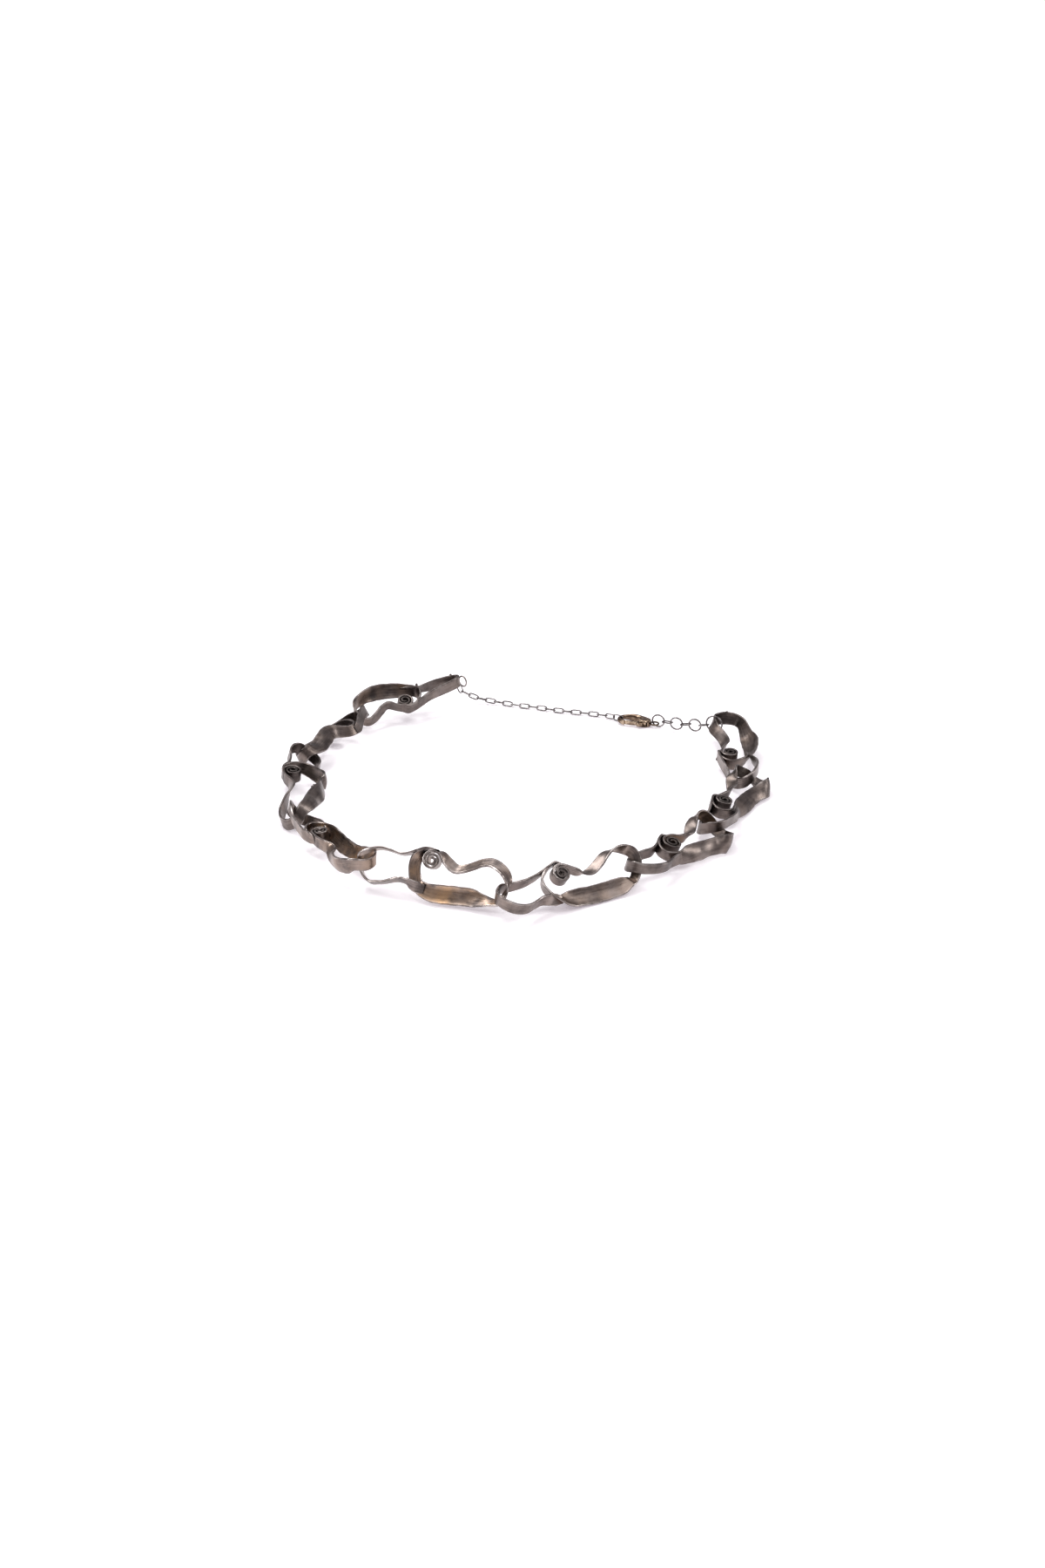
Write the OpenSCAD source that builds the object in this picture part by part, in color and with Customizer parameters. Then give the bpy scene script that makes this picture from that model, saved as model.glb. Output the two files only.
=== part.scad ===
// A choker of nine forged ribbon links, a fine chain, a lobster clasp and extender rings.
// It lies on a flat surface at z = 0. X runs to the wearer's side, Y to the chain at the back.
// Every link is one strip with a spiral roll at its waist, and a second strip, its tail loop,
// soldered to it. The tail loop of each link passes through the head loop of the one before.

/* [Strip] */
// Width of the forged strip
strip_w = 3.2; // [2.8:0.1:3.4]
// Thickness of the forged strip
strip_t = 0.6; // [0.5:0.05:0.65]
// Depth of the dish hammered into each millimetre of extra width
dish_per_w = 0.3; // [0:0.05:0.4]

/* [Spiral roll] */
// Turns of strip in the roll
roll_turns = 2.1; // [1.5:0.1:2.2]
// Middle-line radius at the inner end of the roll
roll_inner_r = 0.45; // [0.4:0.05:0.5]

/* [Chain and rings] */
// Diameter of the tube that stands for the fine chain
chain_d = 1.6; // [1.4:0.1:1.8]
// Middle-line radius of the extender rings
ring_r = 1.75; // [1.7:0.05:1.8]
// Diameter of the ring wire
ring_wire = 0.45; // [0.4:0.05:0.5]
// Diameter of the wire of the small oval links
oval_wire = 0.4; // [0.35:0.05:0.4]

/* [Clasp] */
// Thickness of the clasp body
clasp_t = 2.2; // [2:0.1:2.4]
// Diameter of the lever pin
pin_d = 0.8; // [0.7:0.05:0.9]
// Clearance between the lever and the body
lever_gap = 0.12; // [0.1:0.01:0.15]

/* [Hidden] */
$fn = 32;
// Across value of the line about which each link's sheet is rolled
spine = 5;
// Distance from a link's middle at which its roll reaches the tail and head values
half_link = 20;
// Sections in each interval of the tables and in each turn of the roll
steps = 3;
roll_steps = 16;
// From the links' working origin to the middle of the whole necklace's base
shift = [-0.7, 9, 0.83];

// Shapes of the links. Each has two strips of rows [along, across, off, lean, width]: along
// runs from tail to head, across points to the roll's side, off leaves the sheet, lean turns
// the strip's width about its run from the sheet's normal, and width is the strip's own.

// Link 1, next to the chain: its back strip arches up off the floor
band_1 = [
    [-1, 10, 0, 0, 3.2],
    [1.5, 8.2, 0, 10, 3.2],
    [3.5, 6.3, 0, 0, 3.2],
    [6, 7, 0, -20, 3.2],
    [9, 8.6, 0, -20, 3.3],
    [11.5, 9.2, 0, -10, 3.3],
    [13.2, 8, 0, 0, 3.2],
    [14.2, 5.8, 0.9, 10, 3.2],
    [13.8, 3.8, 1, 20, 3.2],
    [12.5, 2.6, 0.3, 30, 3.4],
    [10.5, 1.6, -0.2, 35, 3.8],
    [8, 1, 0, 35, 4.2],
    [5, 0.7, 0, 35, 4.6],
    [2, 1, 0, 35, 4.6],
    [-1, 1.8, 0, 35, 4.4],
    [-4, 2.8, 0, 30, 3.8],
    [-6.2, 4.2, 0, 20, 3.4],
    [-6.8, 6, 0, 10, 3.2],
    [-6, 8, 0, 5, 3.2],
    [-4.2, 9.6, 0, 0, 3.2],
    [-2.4, 10.3, 0, 0, 3.2]
];
tail_1 = [
    [-3.4, 10.2, 0, 0, 3.2],
    [-6, 9.6, 0, 0, 3.2],
    [-9, 8.8, 0, 0, 3.2],
    [-12.5, 8.6, 0, 0, 3.2],
    [-16, 8.6, 0, 0, 3.2],
    [-18.6, 8.3, 0, 0, 3.2],
    [-19.9, 7.2, 0, 0, 3.2],
    [-19.3, 5.8, 0, 0, 3.2],
    [-17.3, 4.9, 0, 0, 3.2],
    [-13.5, 4.4, 0, 0, 3.2],
    [-10.5, 4.3, 0, 10, 3.2],
    [-7.5, 4, 0, 25, 3.2],
    [-5, 3.1, 0.6, 35, 3.2],
    [-2.6, 2.3, 0.6, 35, 3.2]
];
// Link 2 lies turned over and tips its leaf up to the viewer
band_2 = [
    [-1.8, 9, 0, 0, 3.2],
    [0.5, 8.6, 0, 0, 3.2],
    [3, 7.4, 0, 10, 3.2],
    [5.5, 6.8, 0, 20, 3.2],
    [8.3, 7.4, 0, 20, 3.2],
    [11, 8.4, 0, 10, 3.2],
    [13.5, 8.6, 0.3, 0, 3.3],
    [15.6, 7.6, 1, 0, 3.2],
    [16.8, 5.8, 0.8, 0, 3.2],
    [16.8, 3.8, -0.3, 0, 3.2],
    [15.6, 2.4, -0.6, 15, 3.4],
    [13.8, 2.2, -0.2, 40, 4.2],
    [11.8, 2.6, 0, 50, 5],
    [9.6, 2.8, -0.4, 45, 5],
    [7.2, 3, -0.8, 40, 5],
    [4.8, 3.5, -1.2, 30, 4.8],
    [2.6, 3.7, -1.1, 15, 4.4],
    [0.7, 3.2, -0.4, 5, 3.8],
    [-0.9, 2.3, 0.5, 0, 3.4],
    [-2.6, 1.2, 1.3, 0, 3.2],
    [-4.6, 0.8, 1.6, 0, 3.2],
    [-6.4, 1.6, 1.3, 0, 3.2],
    [-7.5, 3.6, 0.6, 0, 3.2],
    [-7.4, 5.8, 0, 0, 3.2],
    [-6.2, 7.6, -0.1, 0, 3.2],
    [-4.5, 9, 0, 0, 3.2],
    [-2.8, 9.6, 0, 0, 3.2]
];
tail_2 = [
    [-3.6, 9.5, 0, 0, 3.2],
    [-5.8, 9, 0, 0, 3.2],
    [-8.4, 8.2, 0, 0, 3.2],
    [-11.4, 8, 0, 0, 3.2],
    [-14, 7.8, 0, 0, 3.2],
    [-16.3, 6.9, 0.3, 0, 3.2],
    [-17.2, 5.3, 0.3, 0, 3.2],
    [-16.6, 3.6, 0, 0, 3.2],
    [-14.6, 2.6, -0.6, 0, 3.2],
    [-11.8, 1.8, -0.2, 5, 3.2],
    [-9.2, 1.2, 0.6, 5, 3.2],
    [-6.6, 0.6, 1.6, 5, 3.2],
    [-4.2, 0.3, 2.1, 0, 3.2]
];
// Link 3 is turned over too, with a wide leaf that leans to the inside
band_3 = [
    [-3.4, 10.6, 0, 0, 3.2],
    [-1.2, 10, 0, 0, 3.2],
    [1.4, 8.6, 0, 10, 3.4],
    [4, 8, 0, 30, 4],
    [7, 8.4, 0, 30, 4],
    [10, 9.2, 0, 10, 3.4],
    [13, 9.8, 0, 0, 3.2],
    [16, 10.5, 0, 0, 3.2],
    [19.8, 10.6, 0, 15, 3.2],
    [22.8, 8.8, 0.3, 20, 3.2],
    [23.8, 5.8, 0.1, 10, 3.2],
    [22.6, 3.2, -1.1, 10, 3.5],
    [19, 1.8, -0.7, 25, 4.2],
    [14.2, 1.3, 0, 30, 4.8],
    [10.6, 0.4, 0, 30, 4.8],
    [7.4, -0.1, 0, 20, 3.9],
    [4.8, -0.2, 0, 10, 3.3],
    [2.8, -0.1, 0, 5, 3.2],
    [1.5, -0.8, 0, 0, 4.4],
    [-0.9, -0.4, 0, -5, 4.8],
    [-3, 1, 0, -10, 4.4],
    [-5.6, 2.8, 0, -15, 3.8],
    [-7.4, 4.8, 0, -15, 3.4],
    [-7.8, 7, 0, -10, 3.2],
    [-7, 9.2, 0, 0, 3.2],
    [-5.2, 10.8, 0, 0, 3.2]
];
tail_3 = [
    [-5.6, 10.6, 0, 0, 3.2],
    [-8, 9.4, 0, 0, 3.2],
    [-11, 9.2, 0, 0, 3.2],
    [-14, 9.6, -0.4, 0, 3.2],
    [-16.4, 9, -0.8, 0, 3.2],
    [-17.9, 7.2, -0.7, 0, 3.2],
    [-18.1, 5, 0, 0, 3.2],
    [-17.3, 2.8, 0.4, 0, 3.2],
    [-15.2, 1.5, 0.5, 0, 3.2],
    [-12.4, 1, 0.4, 0, 3.2],
    [-9.6, 1.2, 0, 0, 3.2],
    [-7, 1.6, 0, 0, 3.2],
    [-4.8, 1.2, 0.5, 0, 3.2],
    [-2.4, 0.6, 0.6, 0, 3.2]
];
// Link 4 is turned over too, with a wide channelled head
band_4 = [
    [-1.8, 9, 0, 0, 3.2],
    [0.5, 9.2, 0, 5, 3.2],
    [3, 9.1, 0, 10, 3.2],
    [5.4, 8.9, 0, 30, 3.2],
    [7.2, 8.9, 0, 60, 3.2],
    [9, 9.7, 0, 50, 3.4],
    [11.8, 11, 0, 15, 4],
    [14.8, 11.6, 0, 0, 4.6],
    [17.8, 11, 0, 0, 4.6],
    [20.6, 10.2, -0.9, 0, 3.7],
    [22.7, 7.4, 0, 0, 3.3],
    [22.9, 5, 0, -10, 3.2],
    [21, 3.6, 0.1, -25, 3.3],
    [17.6, 4, 0.4, -45, 3.8],
    [13.8, 4.8, 1, -45, 4.2],
    [10, 4.8, 1.2, -45, 4.4],
    [6, 4.6, 1, -45, 4.4],
    [2.5, 4.2, 0.6, -40, 4.4],
    [-1.2, 4, 0, -35, 4.4],
    [-4.6, 4, 0, -25, 3.8],
    [-6.9, 4.9, 0, -10, 3.4],
    [-7.6, 6.6, 0, 0, 3.2],
    [-6.7, 8.3, 0, 0, 3.2],
    [-4.8, 9.3, 0, 0, 3.2],
    [-3, 9.5, 0, 0, 3.2]
];
tail_4 = [
    [-3.2, 9.7, 0, 0, 3.2],
    [-5.5, 9.9, 0, 5, 3.2],
    [-8.6, 9.3, 0, 10, 3.2],
    [-12.6, 8.8, -0.5, 15, 3.2],
    [-16.2, 8.2, -1.8, 15, 3.2],
    [-19.3, 7.2, -2.1, 10, 3.2],
    [-21.2, 5.2, -1, 0, 3.2],
    [-20.2, 3.2, 0, 0, 3.2],
    [-17, 2.4, 0.3, 0, 3.2],
    [-12.6, 2.6, 0.2, 0, 3.2],
    [-9.4, 2.7, 0, 0, 3.2],
    [-6.2, 3, 0, -10, 3.2],
    [-3.6, 3.3, 0.6, -30, 3.2],
    [-1.4, 3.5, 0.6, -40, 3.2]
];
// Link 5, front left: its roll and leaf face the viewer
band_5 = [
    [-1.3, 10.9, 0, 0, 3.2],
    [0.8, 10.5, 0, -20, 3.2],
    [2.7, 8.6, 0, -45, 3.2],
    [4.9, 7.1, 0, -50, 3.2],
    [7.2, 7.4, 0, -45, 3.2],
    [9.6, 8.4, 0, -45, 3.2],
    [11.8, 9.5, 0, -45, 3.2],
    [14.1, 9.8, 0, -50, 3.2],
    [16.5, 8.8, 0.6, -50, 3.2],
    [18.4, 7.2, 1.6, -40, 3.2],
    [19.6, 5.2, 2.5, -20, 3.2],
    [19.7, 3, 2.2, 20, 3.2],
    [18.6, 0.9, 1.2, 40, 2.9],
    [17, -0.1, -0.1, 45, 2.8],
    [15, -0.2, 0, 55, 3],
    [12.5, 0, 0, 75, 3.8],
    [10, 0.3, 0, 90, 4.8],
    [6.5, 0.3, 0, 90, 5],
    [3.5, 0.2, 0, 90, 5],
    [0.2, 0.2, 0, 90, 4.9],
    [-2.5, 0.7, -0.3, 90, 4.2],
    [-4.6, 1.9, -0.8, 85, 3.4],
    [-5.6, 4, -0.8, 80, 3.2],
    [-6, 6.2, -0.5, 75, 3.2],
    [-5.7, 8.4, -0.2, 60, 3.2],
    [-4.5, 10.2, 0, 30, 3.2],
    [-2.8, 11.2, 0, 0, 3.2]
];
tail_5 = [
    [-3.4, 11.4, 0, 0, 3.2],
    [-5.4, 10.6, 0, 0, 3.2],
    [-8.2, 9.4, 0, 0, 3.2],
    [-10.2, 9.2, 0, 0, 3.2],
    [-12.6, 9.7, 0, 0, 3.2],
    [-15.4, 10, 0, 0, 3.2],
    [-18.2, 9.3, 0.1, 0, 3.2],
    [-20.6, 8.1, -0.8, 0, 3.2],
    [-20.9, 6.2, -2.1, 0, 3.2],
    [-20.2, 3.5, -3.5, 0, 3.2],
    [-18, 1.7, -3.3, 0, 3.2],
    [-15.6, 1.6, -2.6, 0, 3.2],
    [-13.4, 1.8, -1.8, 0, 3.2],
    [-10.3, 2.6, -1, 10, 3.2],
    [-8, 2.5, -0.5, 20, 3.2],
    [-6.2, 1.8, 0, 45, 3.2],
    [-4.4, 1.2, 0, 70, 3.2],
    [-2.6, 0.9, 0, 85, 3.2]
];
// Link 6, front right: its tail loop lies flatter and its roll is turned to the right
band_6 = [
    [-1.5, 9.1, 0, 0, 3.2],
    [0.2, 8.8, -0.4, 0, 3.2],
    [1.8, 7.9, -0.6, 5, 3.2],
    [3.4, 6.8, -0.3, 5, 3.2],
    [5.1, 6.1, 0, -30, 3.2],
    [7.2, 6.5, 0, -50, 3.2],
    [9.7, 8.2, 0, -50, 3.2],
    [11.8, 10, 0, -40, 3.2],
    [13.8, 11, 0, -20, 3.1],
    [16.1, 11.3, 0, 10, 3],
    [18.2, 10.8, 0, 35, 3],
    [19.5, 9.5, 0.6, 40, 3.2],
    [20.1, 7.7, 0.4, 35, 3.2],
    [20, 5.7, -0.4, 30, 3.2],
    [19.4, 3.9, -1, 40, 3],
    [18.3, 2.7, -0.9, 55, 2.8],
    [16.8, 2, -0.2, 75, 3.2],
    [14, 1.2, 0, 90, 4.8],
    [10.1, 0.5, 0, 90, 5],
    [6.3, 0.1, 0, 90, 5],
    [2.2, -0.1, 0, 90, 5],
    [-1.2, -0.2, 0, 80, 4.6],
    [-3.6, 0.2, 0, 50, 3.6],
    [-5.5, 1.1, 0, 20, 3.2],
    [-6.8, 2.6, 0, 10, 3.2],
    [-7.2, 4.4, 0, 10, 3.2],
    [-6.8, 6.3, 0, 10, 3.2],
    [-5.4, 8, 0, 5, 3.2],
    [-3.4, 9.3, 0, 0, 3.2]
];
tail_6 = [
    [-2.6, 9.9, 0, 0, 3.2],
    [-4.5, 9, 0, 0, 3.2],
    [-6.6, 8, 0, 0, 3.2],
    [-8.8, 7, 0, 0, 3.2],
    [-11.5, 6.4, -0.3, 0, 3.2],
    [-14.1, 6.5, -0.8, 0, 3.2],
    [-16.6, 6.6, -1, 0, 3],
    [-18.8, 5.6, -0.1, 0, 3],
    [-20.8, 3.3, -0.2, 0, 3.2],
    [-21.1, 0.6, 0, 0, 3.2],
    [-20.1, -1.4, 0, 0, 3.2],
    [-18.4, -2.5, 0, 0, 3.2],
    [-16.5, -2.8, 0, 0, 3.2],
    [-14, -2.3, 0, 0, 3.2],
    [-11.6, -1.1, 0, 0, 3.2],
    [-9.3, 0, 0, 10, 3.2],
    [-7.2, 0.2, 0, 30, 3.2],
    [-5.2, 0, 0, 60, 3.2],
    [-3.2, -0.1, 0, 80, 3.2]
];
// Link 7: a raised head band over a pinched leaf with a flared end
band_7 = [
    [-1.7, 7.9, 0, 0, 3.2],
    [0.2, 7.4, 0, 0, 3.2],
    [2, 6.3, 0, 0, 3.2],
    [4.3, 5.8, 0, 0, 3.2],
    [6.5, 6, 0, -30, 3.2],
    [8.8, 7.6, 0, -60, 3.2],
    [11, 9, 0.4, -40, 3.2],
    [12.8, 9.6, 1.2, -5, 3.2],
    [14.8, 9, 0.8, 15, 3.3],
    [16.5, 7.2, -0.4, 45, 3.3],
    [17.4, 5, -1.4, 65, 3.4],
    [17.6, 2.8, -1, 70, 3.6],
    [16.8, 0.6, 0.3, 30, 4],
    [14.9, -1.2, 1.7, -10, 4.8],
    [12.4, -1.7, 2, -35, 5.2],
    [9.6, -0.6, 0.8, -55, 4.6],
    [6.4, 0, 0.4, -60, 4.6],
    [3.2, 0, 0.4, -55, 5],
    [0, 0.3, 0.4, -50, 4.8],
    [-3, 0.6, 0, -30, 3.8],
    [-5.2, 1.8, 0, -10, 3.2],
    [-6.5, 3.4, 0, 10, 3.2],
    [-6.5, 5.3, 0, 5, 3.2],
    [-5.4, 7, 0, 0, 3.2],
    [-3.4, 8.1, 0, 0, 3.2]
];
tail_7 = [
    [-2.6, 8.7, 0, 0, 3.2],
    [-4.4, 8, 0, 0, 3.2],
    [-6.4, 6.9, 0, 0, 3.2],
    [-9, 6.2, 0, 0, 3.2],
    [-11.5, 6.9, -0.4, 0, 3.2],
    [-14, 7.6, -1.1, 0, 3.2],
    [-16.5, 7.6, -1.7, 0, 3],
    [-18.5, 6, -0.9, 0, 3],
    [-19, 3.9, 0.5, 0, 3.2],
    [-18.2, 1.9, 0.9, 0, 3.2],
    [-16, 0.3, 1, 0, 3.2],
    [-13.2, -0.4, 0.7, 0, 3.2],
    [-10.2, -0.4, 0.3, 0, 3.2],
    [-7.3, 0.3, 0, 5, 3.2],
    [-4.6, 0.5, 0, 20, 3.2],
    [-2.2, 0.3, 0.4, 40, 3.2]
];
// Link 8: nearly flat, its flared leaf end curled up
band_8 = [
    [-1.9, 7.7, 0, 0, 3.2],
    [0.4, 7.1, 0, 0, 3.2],
    [3, 6.6, 0, 0, 3.2],
    [5.8, 6.9, 0, -10, 3.2],
    [8, 7.6, 0, -50, 3.2],
    [10.2, 8.8, 0, -60, 3.2],
    [12.4, 9.8, 0.8, -30, 3.2],
    [14.4, 9.8, 0.9, 20, 3.2],
    [16.2, 8.6, 0, 45, 3.2],
    [17.8, 6.8, -0.8, 60, 3.3],
    [18.9, 4.8, -2, 75, 3.3],
    [18.8, 2.8, -1.9, 60, 3.8],
    [17.4, 0.8, -0.1, -10, 4.6],
    [15, 0.4, 0, -50, 4.8],
    [12.2, 1.2, -0.6, -70, 4.4],
    [9, 1.7, -1, -70, 4.6],
    [5.4, 1.7, -0.9, -65, 5],
    [1.8, 1.5, -0.8, -60, 4.8],
    [-1.2, 1.3, -0.6, -45, 4],
    [-3.9, 1.5, -0.3, -20, 3.4],
    [-6, 2.4, 0, 0, 3.2],
    [-7.2, 4, 0, 5, 3.2],
    [-6.8, 6, 0, 0, 3.2],
    [-5.4, 7.4, 0, 0, 3.2],
    [-3.5, 8.1, 0, 0, 3.2]
];
tail_8 = [
    [-3, 8.5, 0, 0, 3.2],
    [-5, 7.8, 0, 0, 3.2],
    [-8, 6.7, -0.3, 0, 3.2],
    [-11, 6.3, -1, 0, 3.2],
    [-14, 6.3, -1.5, 0, 3.2],
    [-16.4, 5.6, -1.2, 0, 3.2],
    [-17.8, 4, 0, 0, 3.2],
    [-17.9, 2, 1.2, 0, 3.2],
    [-16.8, 0.4, 1.7, 0, 3.2],
    [-14.8, -0.4, 1.8, 0, 3.2],
    [-11.8, -0.6, 1.6, 0, 3.2],
    [-9, -0.7, 1.3, 0, 3.2],
    [-6.2, -0.4, 0.8, 10, 3.2],
    [-3.8, 0.4, 0.5, 25, 3.2],
    [-1.4, 0.8, 0.4, 45, 3.2]
];
// Link 9, next to the extender: a tall upright head band and a curled leaf
band_9 = [
    [-2.3, 8, 0, 0, 3.2],
    [0, 7.6, 0, 0, 3.2],
    [2.2, 7, 0, -10, 3.2],
    [4.5, 6.8, 0, -40, 3.2],
    [7.2, 7.3, 0, -60, 3.3],
    [10.2, 8.5, 0, -55, 3.4],
    [12.8, 9.7, 0, -45, 3.4],
    [15.2, 10.1, 0, -30, 3.4],
    [17.3, 9.9, 0, -5, 3.2],
    [18.8, 8.8, 0, 15, 3.4],
    [19.8, 6.8, 0, 20, 3.7],
    [19.8, 4.8, 0, 20, 3.6],
    [19, 3, 0, 20, 3.5],
    [17.2, 1.9, 0, 30, 3.5],
    [14.4, 1.3, 0, 45, 3.6],
    [11.5, 0.8, 0, 55, 4],
    [8.6, 0.1, 0, 55, 5],
    [5.4, -0.3, 0, 50, 5.2],
    [2, -0.3, 0, 50, 4.4],
    [-1.5, 0.2, 0, 40, 3.6],
    [-3.8, 1.2, 0, 20, 3.3],
    [-5.9, 2.8, 0, 5, 3.2],
    [-7.2, 4.6, 0, 0, 3.2],
    [-7, 6.4, 0, 0, 3.2],
    [-5.6, 7.8, 0, 0, 3.2],
    [-3.8, 8.4, 0, 0, 3.2]
];
tail_9 = [
    [-2.8, 8.9, 0.1, 0, 3.2],
    [-5.8, 8.2, 0, 0, 3.2],
    [-9, 7.4, 0, 0, 3.2],
    [-12.2, 6.4, -0.3, 0, 3.2],
    [-15.2, 5.8, -0.5, 0, 3.2],
    [-17.6, 4.8, 0, 0, 3.2],
    [-19.2, 3.4, 0.8, 0, 3.2],
    [-19.6, 1.8, 1.6, 0, 3.2],
    [-18.4, 0.3, 2.2, 0, 3.2],
    [-16, -0.8, 2.4, 0, 3.2],
    [-13, -1.5, 2.2, 0, 3.2],
    [-10.2, -1.6, 1.8, 0, 3.2],
    [-7.4, -1.2, 1.2, 5, 3.2],
    [-4.6, -0.3, 0.7, 20, 3.2],
    [-1.6, 0.5, 0.6, 40, 3.2]
];

// Links from the chain's left end round the front to the extender: x, y, z of the middle of the
// spine, yaw, pitch, roll of the sheet at tail, waist and head, tilt of the spiral, its radius
links = [
    [-36, 50.5, 5.2, 214, -4, 10, -20, -40, 0, 2.3],
    [-53, 29.3, 3.7, 243, 0, 215, 208, 210, 0, 2.2],
    [-59.5, -1.3, 3.6, 271, 0, 158, 180, 210, 0, 2.5],
    [-50.4, -37.9, 4.7, 303, 5.5, 150, 185, 195, 0, 2.3],
    [-22, -64, 6.3, -16, 0, 50, 58, 52, 0, 2.4],
    [11.5, -64.4, 5, 25, -3, 8, 40, 40, 4, 2.5],
    [40, -42, 4.1, 49, -2.7, 16, 20, 38, 0, 2.6],
    [55, -14.2, 3.3, 62, 0, 10, 16, 22, 0, 2.3],
    [58, 18, 3.2, 88, 4, 0, 4, 6, 0, 2.3]
];

bands = [band_1, band_2, band_3, band_4, band_5, band_6, band_7, band_8, band_9];
tails = [tail_1, tail_2, tail_3, tail_4, tail_5, tail_6, tail_7, tail_8, tail_9];

// Drops of solder where the tail loop joins the forged strip
solder_d = 1.5;
solder_sides = 10;

// Ring at the first link's tip: its middle, the turn of its plane and its middle-line radius
end_ring_at = [-17.9, 68.2, 7.7];
end_ring_yaw = -45;
end_ring_r = 1.5;
end_ring_steps = 24;
end_ring_sides = 8;

// Middle line of the chain: it drops from the end ring and lies on the surface to the clasp
chain_route = [
    [-18.2, 67.3, 5],
    [-17, 68.4, 3],
    [-14.8, 69.3, 1.4],
    [-11.6, 69.6, 0.85],
    [-5.6, 67.9, 0.85],
    [-1, 66.3, 0.85],
    [3.7, 65, 0.85],
    [8.6, 63.2, 0.85],
    [13.4, 61.9, 0.85],
    [18.3, 60.7, 0.85],
    [22.4, 59.4, 0.85],
    [25.3, 57.7, 0.95]
];
chain_steps = 4;
chain_sides = 8;

// Extender rings: x, y, z, turn of the plane, middle-line radius. The last goes round link 9
rings = [
    [37.9, 52.6, 2.2, -20, ring_r],
    [42.9, 49.7, 2.6, -20, ring_r],
    [48, 47.3, 3.2, -20, ring_r],
    [53.2, 43.2, 5.4, -22, ring_r + 0.55]
];
// Where each oval holds its two rings, as angles on their middle lines
oval_angles = [[0, 180], [0, 180], [8, 198]];
oval_half_w = 0.65;
oval_play = 0.1;

// Clasp, lying flat with its eye to the rings: its middle and its turn
clasp_at = [32.1, 54.6, clasp_t / 2];
clasp_yaw = -21;
// Outline from the hook's tip round the inside of the opening, then back round the outside
clasp_outline = [
    [-3.4, -1.6],
    [-4, -1.1],
    [-4.7, -0.1],
    [-4.5, 0.9],
    [-3.4, 1.5],
    [-1.5, 1.6],
    [0.3, 1.1],
    [1, 0.2],
    [0.7, -0.8],
    [0.8, -1.4],
    [1.8, -1.6],
    [3, -1.3],
    [3.8, -0.5],
    [3.9, 0.4],
    [3.6, 1.1],
    [2.6, 1.7],
    [1, 2.3],
    [-1.5, 2.75],
    [-3.8, 2.6],
    [-5.4, 1.7],
    [-6, 0.2],
    [-5.7, -1.2],
    [-4.7, -2.1],
    [-3.7, -2.4],
    [-3.3, -2.2],
    [-3.4, -1.6]
];
outline_steps = 3;
// Slot between the cheeks, and the lever's pin across it
slot_x = [-0.2, 3.25];
slot_y = [-2.5, 0.8];
slot_t = 1.2;
pin_at = [2.2, -0.3];
// Flat eye that the first extender ring is in
eye_at = [5, 0.3];
eye_r = 1.4;
eye_hole_r = 0.88;
eye_t = 0.7;
// Lever: the arm that closes the opening, and the tongue between the cheeks round the pin
arm_t = 1.7;
arm_outline = [
    [-3.1, -2.1],
    [-3.15, -1.5],
    [-1.6, -1.2],
    [0.3, -0.9],
    [0.35, -1.7],
    [-1.2, -2.1]
];
tongue_t = 1;
tongue_outline = [
    [-0.2, -1],
    [1.4, 0.1],
    [2.2, -0.3],
    [2.2, -1.1],
    [1.9, -2],
    [1.5, -2.5],
    [0.6, -2.5],
    [0.2, -1.8]
];
knuckle_r = 0.9;

oxidised = "dimgray";
brassy = "rosybrown";

// Unit vector along v
function unit(v) = v / norm(v);

// Point between p1 and p2 on a smooth curve that also heeds their neighbours
function bend(p0, p1, p2, p3, t) = 0.5 * (
    2 * p1 + (p2 - p0) * t + (2 * p0 - 5 * p1 + 4 * p2 - p3) * t * t
    + (3 * p1 - p0 - 3 * p2 + p3) * t * t * t
);
function smooth(rows, n) = let (last = len(rows) - 1) [
    for (i = [0:last - 1], k = [0:n - 1])
        bend(rows[max(i - 1, 0)], rows[i], rows[i + 1], rows[min(i + 2, last)], k / n),
    rows[last]
];

// Rows of a spiral that ends tangent to a strip's first row
function roll_rows(exit, outer_r, tilt) = let (count = round(roll_turns * roll_steps)) [
    for (i = [0:count - 1])
        let (
            f = i / count,
            angle = 90 + 360 * roll_turns * (1 - f),
            r = roll_inner_r + (outer_r - roll_inner_r) * f,
            run = r * cos(angle)
        )
        [
            exit[0] + run * cos(tilt),
            exit[1] - outer_r + r * sin(angle),
            exit[2] - run * sin(tilt),
            0,
            exit[4]
        ]
];

// Axes of a link: its heading, its level side and its up
function heading(link) = let (yaw = link[3], pitch = link[4])
    [cos(yaw) * cos(pitch), sin(yaw) * cos(pitch), sin(pitch)];
function side(link) = [-sin(link[3]), cos(link[3]), 0];
function up(link) = cross(heading(link), side(link));

// Roll of a link's sheet at a distance along it, through its values at tail, waist and head
function roll_at(link, along) = let (
        s = min(max(along / half_link, -1.1), 1.1),
        tail = link[5],
        waist = link[6],
        head = link[7]
    )
    waist + (head - tail) / 2 * s + ((head + tail) / 2 - waist) * s * s;
function across_dir(link, along) = let (r = roll_at(link, along)) side(link) * cos(r) + up(link) * sin(r);
function off_dir(link, along) = let (r = roll_at(link, along)) up(link) * cos(r) - side(link) * sin(r);

// Place in the necklace of a row of a link's table
function place(link, row) = shift + [link[0], link[1], link[2]]
    + heading(link) * row[0]
    + across_dir(link, row[0]) * (row[1] - spine)
    + off_dir(link, row[0]) * row[2];

function tangents(points) = let (last = len(points) - 1)
    [for (i = [0:last]) unit(points[min(i + 1, last)] - points[max(i - 1, 0)])];

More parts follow.
